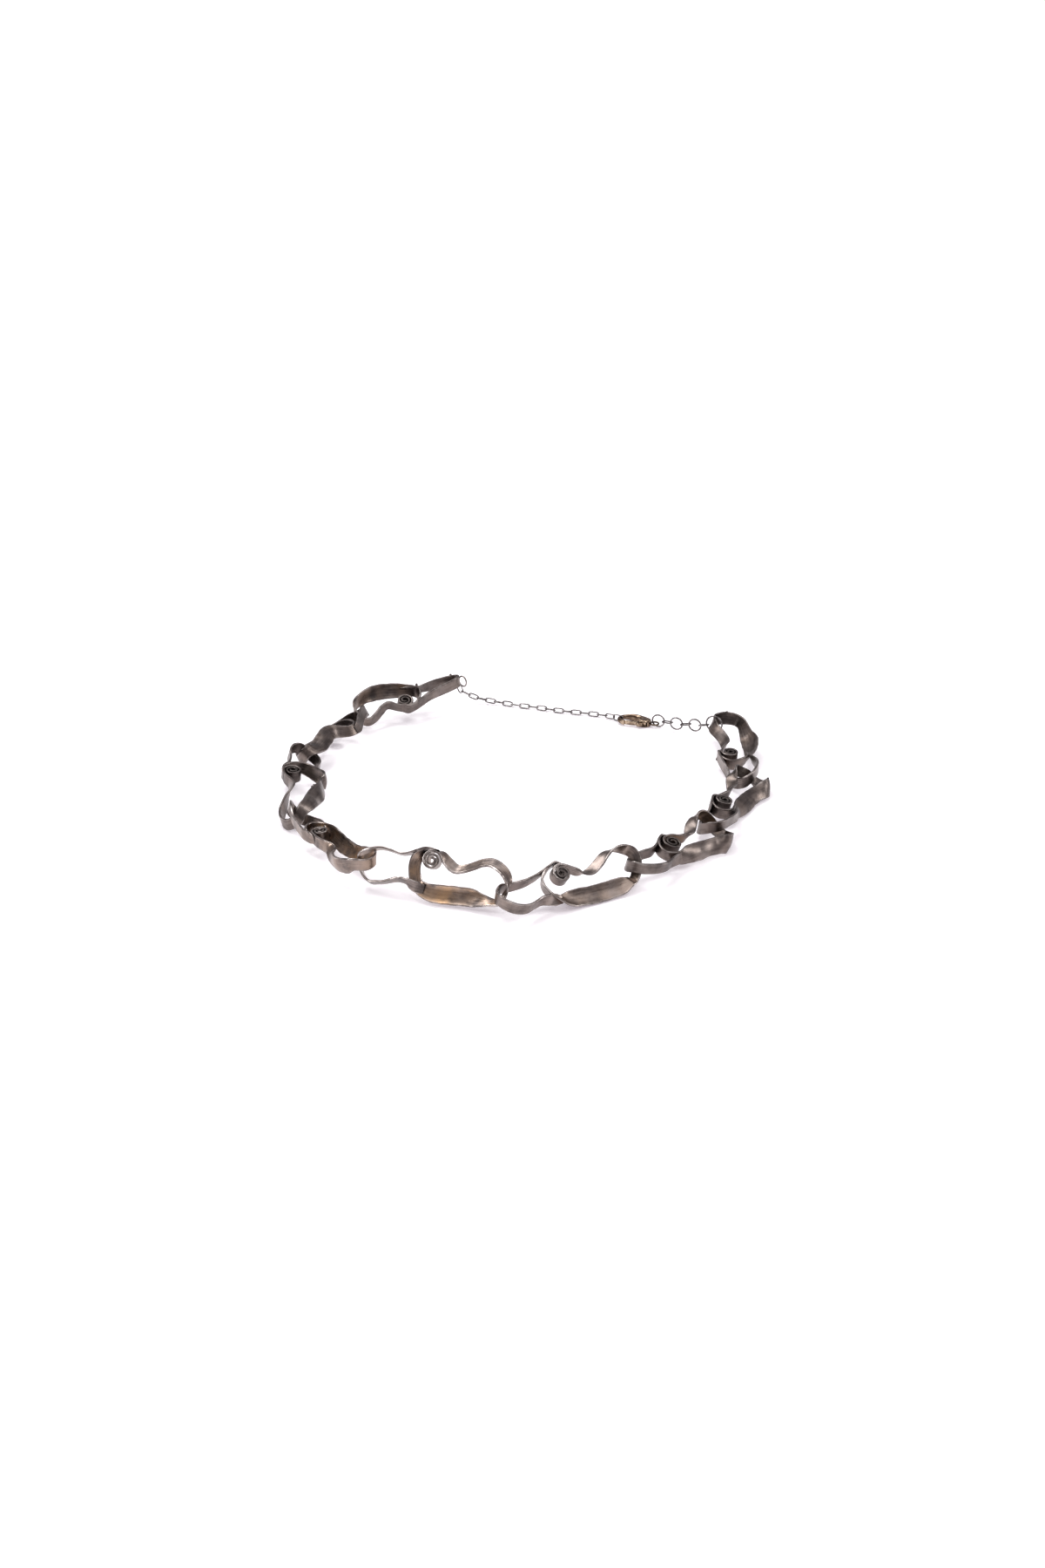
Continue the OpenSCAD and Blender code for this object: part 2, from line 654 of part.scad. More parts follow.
// Six corners of a strip's section: a flat bar, its middle dished where it was hammered wide
function section(p, run, normal, lean, width) = let (
        tipped = normal * cos(lean) + unit(cross(normal, run)) * sin(lean),
        wide = unit(tipped - run * (tipped * run)),
        thin = cross(run, wide),
        w = wide * width / 2,
        h = thin * strip_t / 2,
        d = thin * max(width - strip_w, 0) * dish_per_w
    )
    [p - w + h, p - d + h, p + w + h, p + w - h, p - d - h, p - w - h];

// A closed skin over a row of rings, with flat ends
module sweep(rings, first_end, last_end) {
    sides = len(rings[0]);
    last = (len(rings) - 1) * sides;
    polyhedron(
        points = [for (ring = rings, p = ring) p],
        faces = concat(
            [for (i = [0:len(rings) - 2], j = [0:sides - 1])
                let (k = (j + 1) % sides)
                [i * sides + j, i * sides + k, (i + 1) * sides + k, (i + 1) * sides + j]],
            first_end,
            [for (f = last_end) [for (v = f) v + last]]
        )
    );
}

// One strip of a link from the rows of its table
module ribbon(link, rows) {
    points = [for (row = rows) place(link, row)];
    runs = tangents(points);
    sweep(
        [for (i = [0:len(rows) - 1])
            section(points[i], runs[i], off_dir(link, rows[i][0]), rows[i][3], rows[i][4])],
        [[5, 1, 0], [5, 4, 1], [4, 2, 1], [4, 3, 2]],
        [[0, 1, 5], [1, 4, 5], [1, 2, 4], [2, 3, 4]]
    );
}

// A round wire or tube along points, its ends closed
module wire(points, d, sides) {
    runs = tangents(points);
    ends = [for (j = [0:sides - 1]) j];
    sweep(
        [for (i = [0:len(points) - 1])
            let (flat = unit(cross(runs[i], [0, 0, 1])), rise = cross(flat, runs[i]))
            [for (j = [0:sides - 1])
                points[i] + (flat * cos(360 * j / sides) + rise * sin(360 * j / sides)) * d / 2]],
        [[for (j = ends) sides - 1 - j]],
        [ends]
    );
}

// Union as one skin
module soldered() resize([0, 0, 0]) union() children();

// A drop of solder at a row of a link's table
module solder(link, row) translate(place(link, row)) sphere(d = solder_d, $fn = solder_sides);

module forged_link(i) {
    link = links[i];
    band = bands[i];
    tail = tails[i];
    color(oxidised) soldered() {
        ribbon(link, concat(roll_rows(band[0], link[9], link[8]), smooth(band, steps)));
        ribbon(link, smooth(tail, steps));
        solder(link, tail[0]);
        solder(link, tail[len(tail) - 1]);
        if (i == 0) end_ring();
    }
}

// Small ring soldered to the tip of the first link, for the chain
module end_ring() translate(end_ring_at) rotate([90, 0, end_ring_yaw])
    rotate_extrude($fn = end_ring_steps) translate([end_ring_r, 0])
        circle(d = ring_wire, $fn = end_ring_sides);

module chain() color(oxidised) wire(smooth(chain_route, chain_steps), chain_d, chain_sides);

// An extender ring in an upright plane turned by yaw
module ring(i) {
    row = rings[i];
    color(oxidised) translate([row[0], row[1], row[2]]) rotate([90, 0, row[3]])
        rotate_extrude() translate([row[4], 0]) circle(d = ring_wire);
}

// Point of a ring's middle line at an angle from its right-hand end
function rim(row, angle) = [row[0], row[1], row[2]]
    + row[4] * [cos(angle) * cos(row[3]), cos(angle) * sin(row[3]), sin(angle)];

// Oval connector from one ring's right side to the next ring's left side
module oval(i) {
    from = rim(rings[i], oval_angles[i][0]);
    to = rim(rings[i + 1], oval_angles[i][1]);
    run = to - from;
    straight = norm(run) + ring_wire + oval_wire + 2 * oval_play - 2 * oval_half_w;
    color(oxidised) translate((from + to) / 2)
        rotate([0, -asin(run[2] / norm(run)), atan2(run[1], run[0])])
        for (end = [-1, 1]) {
            translate([end * straight / 2, 0, 0]) rotate([0, 0, -90 * end])
                rotate_extrude(angle = 180) translate([oval_half_w, 0]) circle(d = oval_wire);
            translate([-straight / 2, end * oval_half_w, 0]) rotate([0, 90, 0])
                cylinder(d = oval_wire, h = straight);
        }
}

module at_clasp() translate(clasp_at) rotate([0, 0, clasp_yaw]) children();

// Cast hook, back and two cheeks with the lever's pin between them, and the eye
module clasp_body() color(brassy) at_clasp() {
    difference() {
        translate([0, 0, -clasp_t / 2]) linear_extrude(clasp_t) polygon(smooth(clasp_outline, outline_steps));
        translate([slot_x[0], slot_y[0], -slot_t / 2])
            cube([slot_x[1] - slot_x[0], slot_y[1] - slot_y[0], slot_t]);
    }
    translate([pin_at[0], pin_at[1], -clasp_t / 2]) cylinder(d = pin_d, h = clasp_t);
    translate([eye_at[0], eye_at[1], -eye_t / 2]) difference() {
        cylinder(r = eye_r, h = eye_t);
        translate([0, 0, -eye_t]) cylinder(r = eye_hole_r, h = 3 * eye_t);
    }
}

// Lever that closes the hook: an arm, a tongue round the pin and a thumb nub
module clasp_lever() color(brassy) at_clasp() difference() {
    union() {
        translate([0, 0, -arm_t / 2]) linear_extrude(arm_t) polygon(arm_outline);
        translate([0, 0, -tongue_t / 2]) linear_extrude(tongue_t) polygon(tongue_outline);
        translate([pin_at[0], pin_at[1], -tongue_t / 2]) cylinder(r = knuckle_r, h = tongue_t);
    }
    translate([pin_at[0], pin_at[1], -clasp_t]) cylinder(d = pin_d + 2 * lever_gap, h = 2 * clasp_t);
}

for (i = [0:len(links) - 1]) forged_link(i);
chain();
for (i = [0:len(rings) - 1]) ring(i);
for (i = [0:len(oval_angles) - 1]) oval(i);
clasp_body();
clasp_lever();
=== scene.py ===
"""A choker of nine forged ribbon links with its fine chain, lobster clasp and extender.

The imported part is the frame. Each link, ring and clasp piece is rebuilt here as a finer surface
in the same place, dressed in its own finish, and shown on a plain white studio floor. Sizes are
in millimetres up to the point where a surface becomes a mesh in metres.
"""

import logging
import math
from dataclasses import dataclass, field
from enum import Enum
from typing import Mapping, Sequence, Union

import bpy
import numpy as np
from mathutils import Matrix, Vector


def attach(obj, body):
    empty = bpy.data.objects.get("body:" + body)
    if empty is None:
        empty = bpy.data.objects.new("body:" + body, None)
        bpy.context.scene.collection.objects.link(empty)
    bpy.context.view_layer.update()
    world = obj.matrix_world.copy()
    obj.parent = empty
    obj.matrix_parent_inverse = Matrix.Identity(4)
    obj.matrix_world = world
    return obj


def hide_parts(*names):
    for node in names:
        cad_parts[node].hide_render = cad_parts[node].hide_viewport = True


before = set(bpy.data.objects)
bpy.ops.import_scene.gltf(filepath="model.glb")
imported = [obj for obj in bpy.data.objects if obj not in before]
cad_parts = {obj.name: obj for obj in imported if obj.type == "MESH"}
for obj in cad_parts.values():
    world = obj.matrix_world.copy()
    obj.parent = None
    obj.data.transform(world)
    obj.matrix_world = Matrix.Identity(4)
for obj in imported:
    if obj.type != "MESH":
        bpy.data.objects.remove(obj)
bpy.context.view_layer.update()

Array = np.ndarray
Random = np.random.Generator
Material = bpy.types.Material
Thing = bpy.types.Object
Colour = tuple[float, float, float, float]
Triple = tuple[float, float, float]
Pair = tuple[float, float]
Row = Sequence[float]
Key = Union[str, int]

log = logging.getLogger("necklace")

MM = 0.001
FULL_TURN = 2 * math.pi
# From the links' working origin to the middle of the necklace's base
SHIFT = np.array([-0.7, 9.0, 0.83])
# Across value of the line about which each link's sheet is rolled
SPINE = 5.0
# Distance from a link's middle at which its roll reaches the tail and head values
HALF_LINK = 20.0
# Share of that distance past which the sheet rolls no further
ROLL_REACH = 1.1
STRIP_WIDTH = 3.2
# Where a table's row is cut short, the rest of [along, across, off, lean, width]
ROW_REST = (0.0, 0.0, 0.0, 0.0, STRIP_WIDTH)
# Most that a wave's phase changes from the middle of a strip to its rim
MOST_SLANT = 2.5
# Share of the way from a band's first row to its second at which its tail loop starts
LEAD = 0.7
# Least depth inside an outline, so that nothing is divided by zero
TINY = 1e-6
UP = (0.0, 0.0, 1.0)

# Strips of the links, in millimetres and degrees, from the chain's end round the front to the
# extender. A row is (along, across, off, lean, width).
BAND_1 = [
    (-1, 10), (1.5, 8.2, 0, 10), (3.5, 6.3), (6, 7, 0, -20), (9, 8.6, 0, -20, 3.3),
    (11.5, 9.2, 0, -10, 3.3), (13.2, 8), (14.2, 5.8, 0.9, 10), (13.8, 3.8, 1, 20),
    (12.5, 2.6, 0.3, 30, 3.4), (10.5, 1.6, -0.2, 35, 3.8), (8, 1, 0, 35, 4.2), (5, 0.7, 0, 35, 4.6),
    (2, 1, 0, 35, 4.6), (-1, 1.8, 0, 35, 4.4), (-4, 2.8, 0, 30, 3.8), (-6.2, 4.2, 0, 20, 3.4),
    (-6.8, 6, 0, 10), (-6, 8, 0, 5), (-4.2, 9.6), (-2.4, 10.3),
]
TAIL_1 = [
    (-3.4, 10.2), (-6, 9.6), (-9, 8.8), (-12.5, 8.6), (-16, 8.6), (-18.6, 8.3), (-19.9, 7.2),
    (-19.3, 5.8), (-17.3, 4.9), (-13.5, 4.4), (-10.5, 4.3, 0, 10), (-7.5, 4, 0, 25),
    (-5, 3.1, 0.6, 35), (-2.6, 2.3, 0.6, 35),
]
BAND_2 = [
    (-1.8, 9), (0.5, 8.6), (3, 7.4, 0, 10), (5.5, 6.8, 0, 20), (8.3, 7.4, 0, 20), (11, 8.4, 0, 10),
    (13.5, 8.6, 0.3, 0, 3.3), (15.6, 7.6, 1), (16.8, 5.8, 0.8), (16.8, 3.8, -0.3),
    (15.6, 2.4, -0.6, 15, 3.4), (13.8, 2.2, -0.2, 40, 4.2), (11.8, 2.6, 0, 50, 5),
    (9.6, 2.8, -0.4, 45, 5), (7.2, 3, -0.8, 40, 5), (4.8, 3.5, -1.2, 30, 4.8),
    (2.6, 3.7, -1.1, 15, 4.4), (0.7, 3.2, -0.4, 5, 3.8), (-0.9, 2.3, 0.5, 0, 3.4), (-2.6, 1.2, 1.3),
    (-4.6, 0.8, 1.6), (-6.4, 1.6, 1.3), (-7.5, 3.6, 0.6), (-7.4, 5.8), (-6.2, 7.6, -0.1), (-4.5, 9),
    (-2.8, 9.6),
]
TAIL_2 = [
    (-3.6, 9.5), (-5.8, 9), (-8.4, 8.2), (-11.4, 8), (-14, 7.8), (-16.3, 6.9, 0.3), (-17.2, 5.3, 0.3),
    (-16.6, 3.6), (-14.6, 2.6, -0.6), (-11.8, 1.8, -0.2, 5), (-9.2, 1.2, 0.6, 5), (-6.6, 0.6, 1.6, 5),
    (-4.2, 0.3, 2.1),
]
BAND_3 = [
    (-3.4, 10.6), (-1.2, 10), (1.4, 8.6, 0, 10, 3.4), (4, 8, 0, 30, 4), (7, 8.4, 0, 30, 4),
    (10, 9.2, 0, 10, 3.4), (13, 9.8), (16, 10.5), (19.8, 10.6, 0, 15), (22.8, 8.8, 0.3, 20),
    (23.8, 5.8, 0.1, 10), (22.6, 3.2, -1.1, 10, 3.5), (19, 1.8, -0.7, 25, 4.2),
    (14.2, 1.3, 0, 30, 4.8), (10.6, 0.4, 0, 30, 4.8), (7.4, -0.1, 0, 20, 3.9), (4.8, -0.2, 0, 10, 3.3),
    (2.8, -0.1, 0, 5), (1.5, -0.8, 0, 0, 4.4), (-0.9, -0.4, 0, -5, 4.8), (-3, 1, 0, -10, 4.4),
    (-5.6, 2.8, 0, -15, 3.8), (-7.4, 4.8, 0, -15, 3.4), (-7.8, 7, 0, -10), (-7, 9.2), (-5.2, 10.8),
]
TAIL_3 = [
    (-5.6, 10.6), (-8, 9.4), (-11, 9.2), (-14, 9.6, -0.4), (-16.4, 9, -0.8), (-17.9, 7.2, -0.7),
    (-18.1, 5), (-17.3, 2.8, 0.4), (-15.2, 1.5, 0.5), (-12.4, 1, 0.4), (-9.6, 1.2), (-7, 1.6),
    (-4.8, 1.2, 0.5), (-2.4, 0.6, 0.6),
]
BAND_4 = [
    (-1.8, 9), (0.5, 9.2, 0, 5), (3, 9.1, 0, 10), (5.4, 8.9, 0, 30), (7.2, 8.9, 0, 60),
    (9, 9.7, 0, 50, 3.4), (11.8, 11, 0, 15, 4), (14.8, 11.6, 0, 0, 4.6), (17.8, 11, 0, 0, 4.6),
    (20.6, 10.2, -0.9, 0, 3.7), (22.7, 7.4, 0, 0, 3.3), (22.9, 5, 0, -10), (21, 3.6, 0.1, -25, 3.3),
    (17.6, 4, 0.4, -45, 3.8), (13.8, 4.8, 1, -45, 4.2), (10, 4.8, 1.2, -45, 4.4),
    (6, 4.6, 1, -45, 4.4), (2.5, 4.2, 0.6, -40, 4.4), (-1.2, 4, 0, -35, 4.4), (-4.6, 4, 0, -25, 3.8),
    (-6.9, 4.9, 0, -10, 3.4), (-7.6, 6.6), (-6.7, 8.3), (-4.8, 9.3), (-3, 9.5),
]
TAIL_4 = [
    (-3.2, 9.7), (-5.5, 9.9, 0, 5), (-8.6, 9.3, 0, 10), (-12.6, 8.8, -0.5, 15), (-16.2, 8.2, -1.8, 15),
    (-19.3, 7.2, -2.1, 10), (-21.2, 5.2, -1), (-20.2, 3.2), (-17, 2.4, 0.3), (-12.6, 2.6, 0.2),
    (-9.4, 2.7), (-6.2, 3, 0, -10), (-3.6, 3.3, 0.6, -30), (-1.4, 3.5, 0.6, -40),
]
BAND_5 = [
    (-1.3, 10.9), (0.8, 10.5, 0, -20), (2.7, 8.6, 0, -45), (4.9, 7.1, 0, -50), (7.2, 7.4, 0, -45),
    (9.6, 8.4, 0, -45), (11.8, 9.5, 0, -45), (14.1, 9.8, 0, -50), (16.5, 8.8, 0.6, -50),
    (18.4, 7.2, 1.6, -40), (19.6, 5.2, 2.5, -20), (19.7, 3, 2.2, 20), (18.6, 0.9, 1.2, 40, 2.9),
    (17, -0.1, -0.1, 45, 2.8), (15, -0.2, 0, 55, 3), (12.5, 0, 0, 75, 3.8), (10, 0.3, 0, 90, 4.8),
    (6.5, 0.3, 0, 90, 5), (3.5, 0.2, 0, 90, 5), (0.2, 0.2, 0, 90, 4.9), (-2.5, 0.7, -0.3, 90, 4.2),
    (-4.6, 1.9, -0.8, 85, 3.4), (-5.6, 4, -0.8, 80), (-6, 6.2, -0.5, 75), (-5.7, 8.4, -0.2, 60),
    (-4.5, 10.2, 0, 30), (-2.8, 11.2),
]
TAIL_5 = [
    (-3.4, 11.4), (-5.4, 10.6), (-8.2, 9.4), (-10.2, 9.2), (-12.6, 9.7), (-15.4, 10),
    (-18.2, 9.3, 0.1), (-20.6, 8.1, -0.8), (-20.9, 6.2, -2.1), (-20.2, 3.5, -3.5), (-18, 1.7, -3.3),
    (-15.6, 1.6, -2.6), (-13.4, 1.8, -1.8), (-10.3, 2.6, -1, 10), (-8, 2.5, -0.5, 20),
    (-6.2, 1.8, 0, 45), (-4.4, 1.2, 0, 70), (-2.6, 0.9, 0, 85),
]
BAND_6 = [
    (-1.5, 9.1), (0.2, 8.8, -0.4), (1.8, 7.9, -0.6, 5), (3.4, 6.8, -0.3, 5), (5.1, 6.1, 0, -30),
    (7.2, 6.5, 0, -50), (9.7, 8.2, 0, -50), (11.8, 10, 0, -40), (13.8, 11, 0, -20, 3.1),
    (16.1, 11.3, 0, 10, 3), (18.2, 10.8, 0, 35, 3), (19.5, 9.5, 0.6, 40), (20.1, 7.7, 0.4, 35),
    (20, 5.7, -0.4, 30), (19.4, 3.9, -1, 40, 3), (18.3, 2.7, -0.9, 55, 2.8), (16.8, 2, -0.2, 75),
    (14, 1.2, 0, 90, 4.8), (10.1, 0.5, 0, 90, 5), (6.3, 0.1, 0, 90, 5), (2.2, -0.1, 0, 90, 5),
    (-1.2, -0.2, 0, 80, 4.6), (-3.6, 0.2, 0, 50, 3.6), (-5.5, 1.1, 0, 20), (-6.8, 2.6, 0, 10),
    (-7.2, 4.4, 0, 10), (-6.8, 6.3, 0, 10), (-5.4, 8, 0, 5), (-3.4, 9.3),
]
TAIL_6 = [
    (-2.6, 9.9), (-4.5, 9), (-6.6, 8), (-8.8, 7), (-11.5, 6.4, -0.3), (-14.1, 6.5, -0.8),
    (-16.6, 6.6, -1, 0, 3), (-18.8, 5.6, -0.1, 0, 3), (-20.8, 3.3, -0.2), (-21.1, 0.6), (-20.1, -1.4),
    (-18.4, -2.5), (-16.5, -2.8), (-14, -2.3), (-11.6, -1.1), (-9.3, 0, 0, 10), (-7.2, 0.2, 0, 30),
    (-5.2, 0, 0, 60), (-3.2, -0.1, 0, 80),
]
BAND_7 = [
    (-1.7, 7.9), (0.2, 7.4), (2, 6.3), (4.3, 5.8), (6.5, 6, 0, -30), (8.8, 7.6, 0, -60),
    (11, 9, 0.4, -40), (12.8, 9.6, 1.2, -5), (14.8, 9, 0.8, 15, 3.3), (16.5, 7.2, -0.4, 45, 3.3),
    (17.4, 5, -1.4, 65, 3.4), (17.6, 2.8, -1, 70, 3.6), (16.8, 0.6, 0.3, 30, 4),
    (14.9, -1.2, 1.7, -10, 4.8), (12.4, -1.7, 2, -35, 5.2), (9.6, -0.6, 0.8, -55, 4.6),
    (6.4, 0, 0.4, -60, 4.6), (3.2, 0, 0.4, -55, 5), (0, 0.3, 0.4, -50, 4.8), (-3, 0.6, 0, -30, 3.8),
    (-5.2, 1.8, 0, -10), (-6.5, 3.4, 0, 10), (-6.5, 5.3, 0, 5), (-5.4, 7), (-3.4, 8.1),
]
TAIL_7 = [
    (-2.6, 8.7), (-4.4, 8), (-6.4, 6.9), (-9, 6.2), (-11.5, 6.9, -0.4), (-14, 7.6, -1.1),
    (-16.5, 7.6, -1.7, 0, 3), (-18.5, 6, -0.9, 0, 3), (-19, 3.9, 0.5), (-18.2, 1.9, 0.9),
    (-16, 0.3, 1), (-13.2, -0.4, 0.7), (-10.2, -0.4, 0.3), (-7.3, 0.3, 0, 5), (-4.6, 0.5, 0, 20),
    (-2.2, 0.3, 0.4, 40),
]
BAND_8 = [
    (-1.9, 7.7), (0.4, 7.1), (3, 6.6), (5.8, 6.9, 0, -10), (8, 7.6, 0, -50), (10.2, 8.8, 0, -60),
    (12.4, 9.8, 0.8, -30), (14.4, 9.8, 0.9, 20), (16.2, 8.6, 0, 45), (17.8, 6.8, -0.8, 60, 3.3),
    (18.9, 4.8, -2, 75, 3.3), (18.8, 2.8, -1.9, 60, 3.8), (17.4, 0.8, -0.1, -10, 4.6),
    (15, 0.4, 0, -50, 4.8), (12.2, 1.2, -0.6, -70, 4.4), (9, 1.7, -1, -70, 4.6),
    (5.4, 1.7, -0.9, -65, 5), (1.8, 1.5, -0.8, -60, 4.8), (-1.2, 1.3, -0.6, -45, 4),
    (-3.9, 1.5, -0.3, -20, 3.4), (-6, 2.4), (-7.2, 4, 0, 5), (-6.8, 6), (-5.4, 7.4), (-3.5, 8.1),
]
TAIL_8 = [
    (-3, 8.5), (-5, 7.8), (-8, 6.7, -0.3), (-11, 6.3, -1), (-14, 6.3, -1.5), (-16.4, 5.6, -1.2),
    (-17.8, 4), (-17.9, 2, 1.2), (-16.8, 0.4, 1.7), (-14.8, -0.4, 1.8), (-11.8, -0.6, 1.6),
    (-9, -0.7, 1.3), (-6.2, -0.4, 0.8, 10), (-3.8, 0.4, 0.5, 25), (-1.4, 0.8, 0.4, 45),
]
BAND_9 = [
    (-2.3, 8), (0, 7.6), (2.2, 7, 0, -10), (4.5, 6.8, 0, -40), (7.2, 7.3, 0, -60, 3.3),
    (10.2, 8.5, 0, -55, 3.4), (12.8, 9.7, 0, -45, 3.4), (15.2, 10.1, 0, -30, 3.4), (17.3, 9.9, 0, -5),
    (18.8, 8.8, 0, 15, 3.4), (19.8, 6.8, 0, 20, 3.7), (19.8, 4.8, 0, 20, 3.6), (19, 3, 0, 20, 3.5),
    (17.2, 1.9, 0, 30, 3.5), (14.4, 1.3, 0, 45, 3.6), (11.5, 0.8, 0, 55, 4), (8.6, 0.1, 0, 55, 5),
    (5.4, -0.3, 0, 50, 5.2), (2, -0.3, 0, 50, 4.4), (-1.5, 0.2, 0, 40, 3.6), (-3.8, 1.2, 0, 20, 3.3),
    (-5.9, 2.8, 0, 5), (-7.2, 4.6), (-7, 6.4), (-5.6, 7.8), (-3.8, 8.4),
]
TAIL_9 = [
    (-2.8, 8.9, 0.1), (-5.8, 8.2), (-9, 7.4), (-12.2, 6.4, -0.3), (-15.2, 5.8, -0.5), (-17.6, 4.8),
    (-19.2, 3.4, 0.8), (-19.6, 1.8, 1.6), (-18.4, 0.3, 2.2), (-16, -0.8, 2.4), (-13, -1.5, 2.2),
    (-10.2, -1.6, 1.8), (-7.4, -1.2, 1.2, 5), (-4.6, -0.3, 0.7, 20), (-1.6, 0.5, 0.6, 40),
]


class Slot(Enum):
    """Names of the record's finish slots."""

    SILVER = "oxidised_silver"
    WIRE = "dark_wire"
    CLASP = "clasp_metal"


class Body(Enum):
    """Body of the part that a piece rides on."""

    NECKLACE = "necklace"
    LEVER = "lever"


def add_object(name: str, data: bpy.types.ID) -> Thing:
    """Put a mesh, light or camera into the scene as an object."""
    made = bpy.data.objects.new(name, data)
    bpy.context.scene.collection.objects.link(made)
    return made


def stand_for(made: Thing, node: str, body: Body = Body.NECKLACE) -> None:
    """Let a piece take the place of a CAD node.

    Args:
        made: The piece.
        node: The node that it replaces.
        body: The body that it rides on.
    """
    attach(made, body.value)
    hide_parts(node)


def unit(vectors: Array) -> Array:
    """Vectors divided by their lengths."""
    return vectors / np.linalg.norm(vectors, axis=-1, keepdims=True)


def tangents(points: Array) -> Array:
    """Unit vectors from the point before to the point after, one-sided at the ends."""
    padded = np.concatenate([points[:1], points, points[-1:]])
    return unit(padded[2:] - padded[:-2])


def travel(points: Array) -> Array:
    """Distance of each point from the first, summed along the points."""
    return np.concatenate([[0], np.cumsum(np.linalg.norm(np.diff(points, axis=0), axis=1))])


def signed_power(values: Array, power: float) -> Array:
    """Sizes of the values to a power, with the values' signs."""
    return np.sign(values) * np.abs(values) ** power


def circle(radius: float, count: int) -> Array:
    """Points (r cos a, r sin a) once round."""
    angle = np.arange(count) * FULL_TURN / count
    return radius * np.stack([np.cos(angle), np.sin(angle)], -1)


def full_rows(rows: Sequence[Row]) -> Array:
    """Table rows with the values that they leave out."""
    return np.array([list(row) + list(ROW_REST[len(row):]) for row in rows], float)


def smooth(rows: Array, steps: int) -> Array:
    """Rows on the smooth curve through the given ones.

    A share t of the way from p1 to p2, with neighbours p0 and p3, it is half of
    2 p1 + (p2 - p0) t + (2 p0 - 5 p1 + 4 p2 - p3) t^2 + (3 p1 - p0 - 3 p2 + p3) t^3.

    Args:
        rows: Points or table rows, one a line.
        steps: Points in each interval.

    Returns:
        The finer rows, the last one included.
    """
    padded = np.concatenate([rows[:1], rows, rows[-1:]])
    p0, p1, p2, p3 = (padded[k:k + len(rows) - 1, None] for k in range(4))
    t = (np.arange(steps) / steps)[None, :, None]
    cubic = (3 * p1 - p0 - 3 * p2 + p3) * t**3
    square = (2 * p0 - 5 * p1 + 4 * p2 - p3) * t**2
    inner = 0.5 * (2 * p1 + (p2 - p0) * t + square + cubic)
    return np.concatenate([inner.reshape(-1, rows.shape[1]), rows[-1:]])


def closed_outline(corners: Sequence[Pair], steps: int) -> Array:
    """Smooth closed outline through corners, without its repeated last point."""
    loop = np.array(corners, float)
    fine = smooth(np.concatenate([loop[-2:], loop, loop[:3]]), steps)
    return fine[2 * steps:(2 + len(loop)) * steps]


def ease(values: Array) -> Array:
    """Values held to 0..1 and eased: 3 v^2 - 2 v^3."""
    held = np.clip(values, 0, 1)
    return held * held * (3 - 2 * held)


def waves(rng: Random, s: Array, u: Array, lengths: Sequence[float]) -> Array:
    """Uneven hand-worked surface: the mean of sin(2 pi s / length + k u + phase).

    Args:
        rng: Source of the phases and of the slants k.
        s: Distance along the strip.
        u: Place across the strip, -1 to 1.
        lengths: Wavelengths along the strip.

    Returns:
        Values of about -0.7 to 0.7.
    """
    total = np.zeros(np.broadcast(s, u).shape)
    for length in lengths:
        slant = rng.uniform(-MOST_SLANT, MOST_SLANT)
        phase = rng.uniform(0, FULL_TURN)
        total = total + np.sin(FULL_TURN * s / length + slant * u + phase)
    return total / len(lengths)


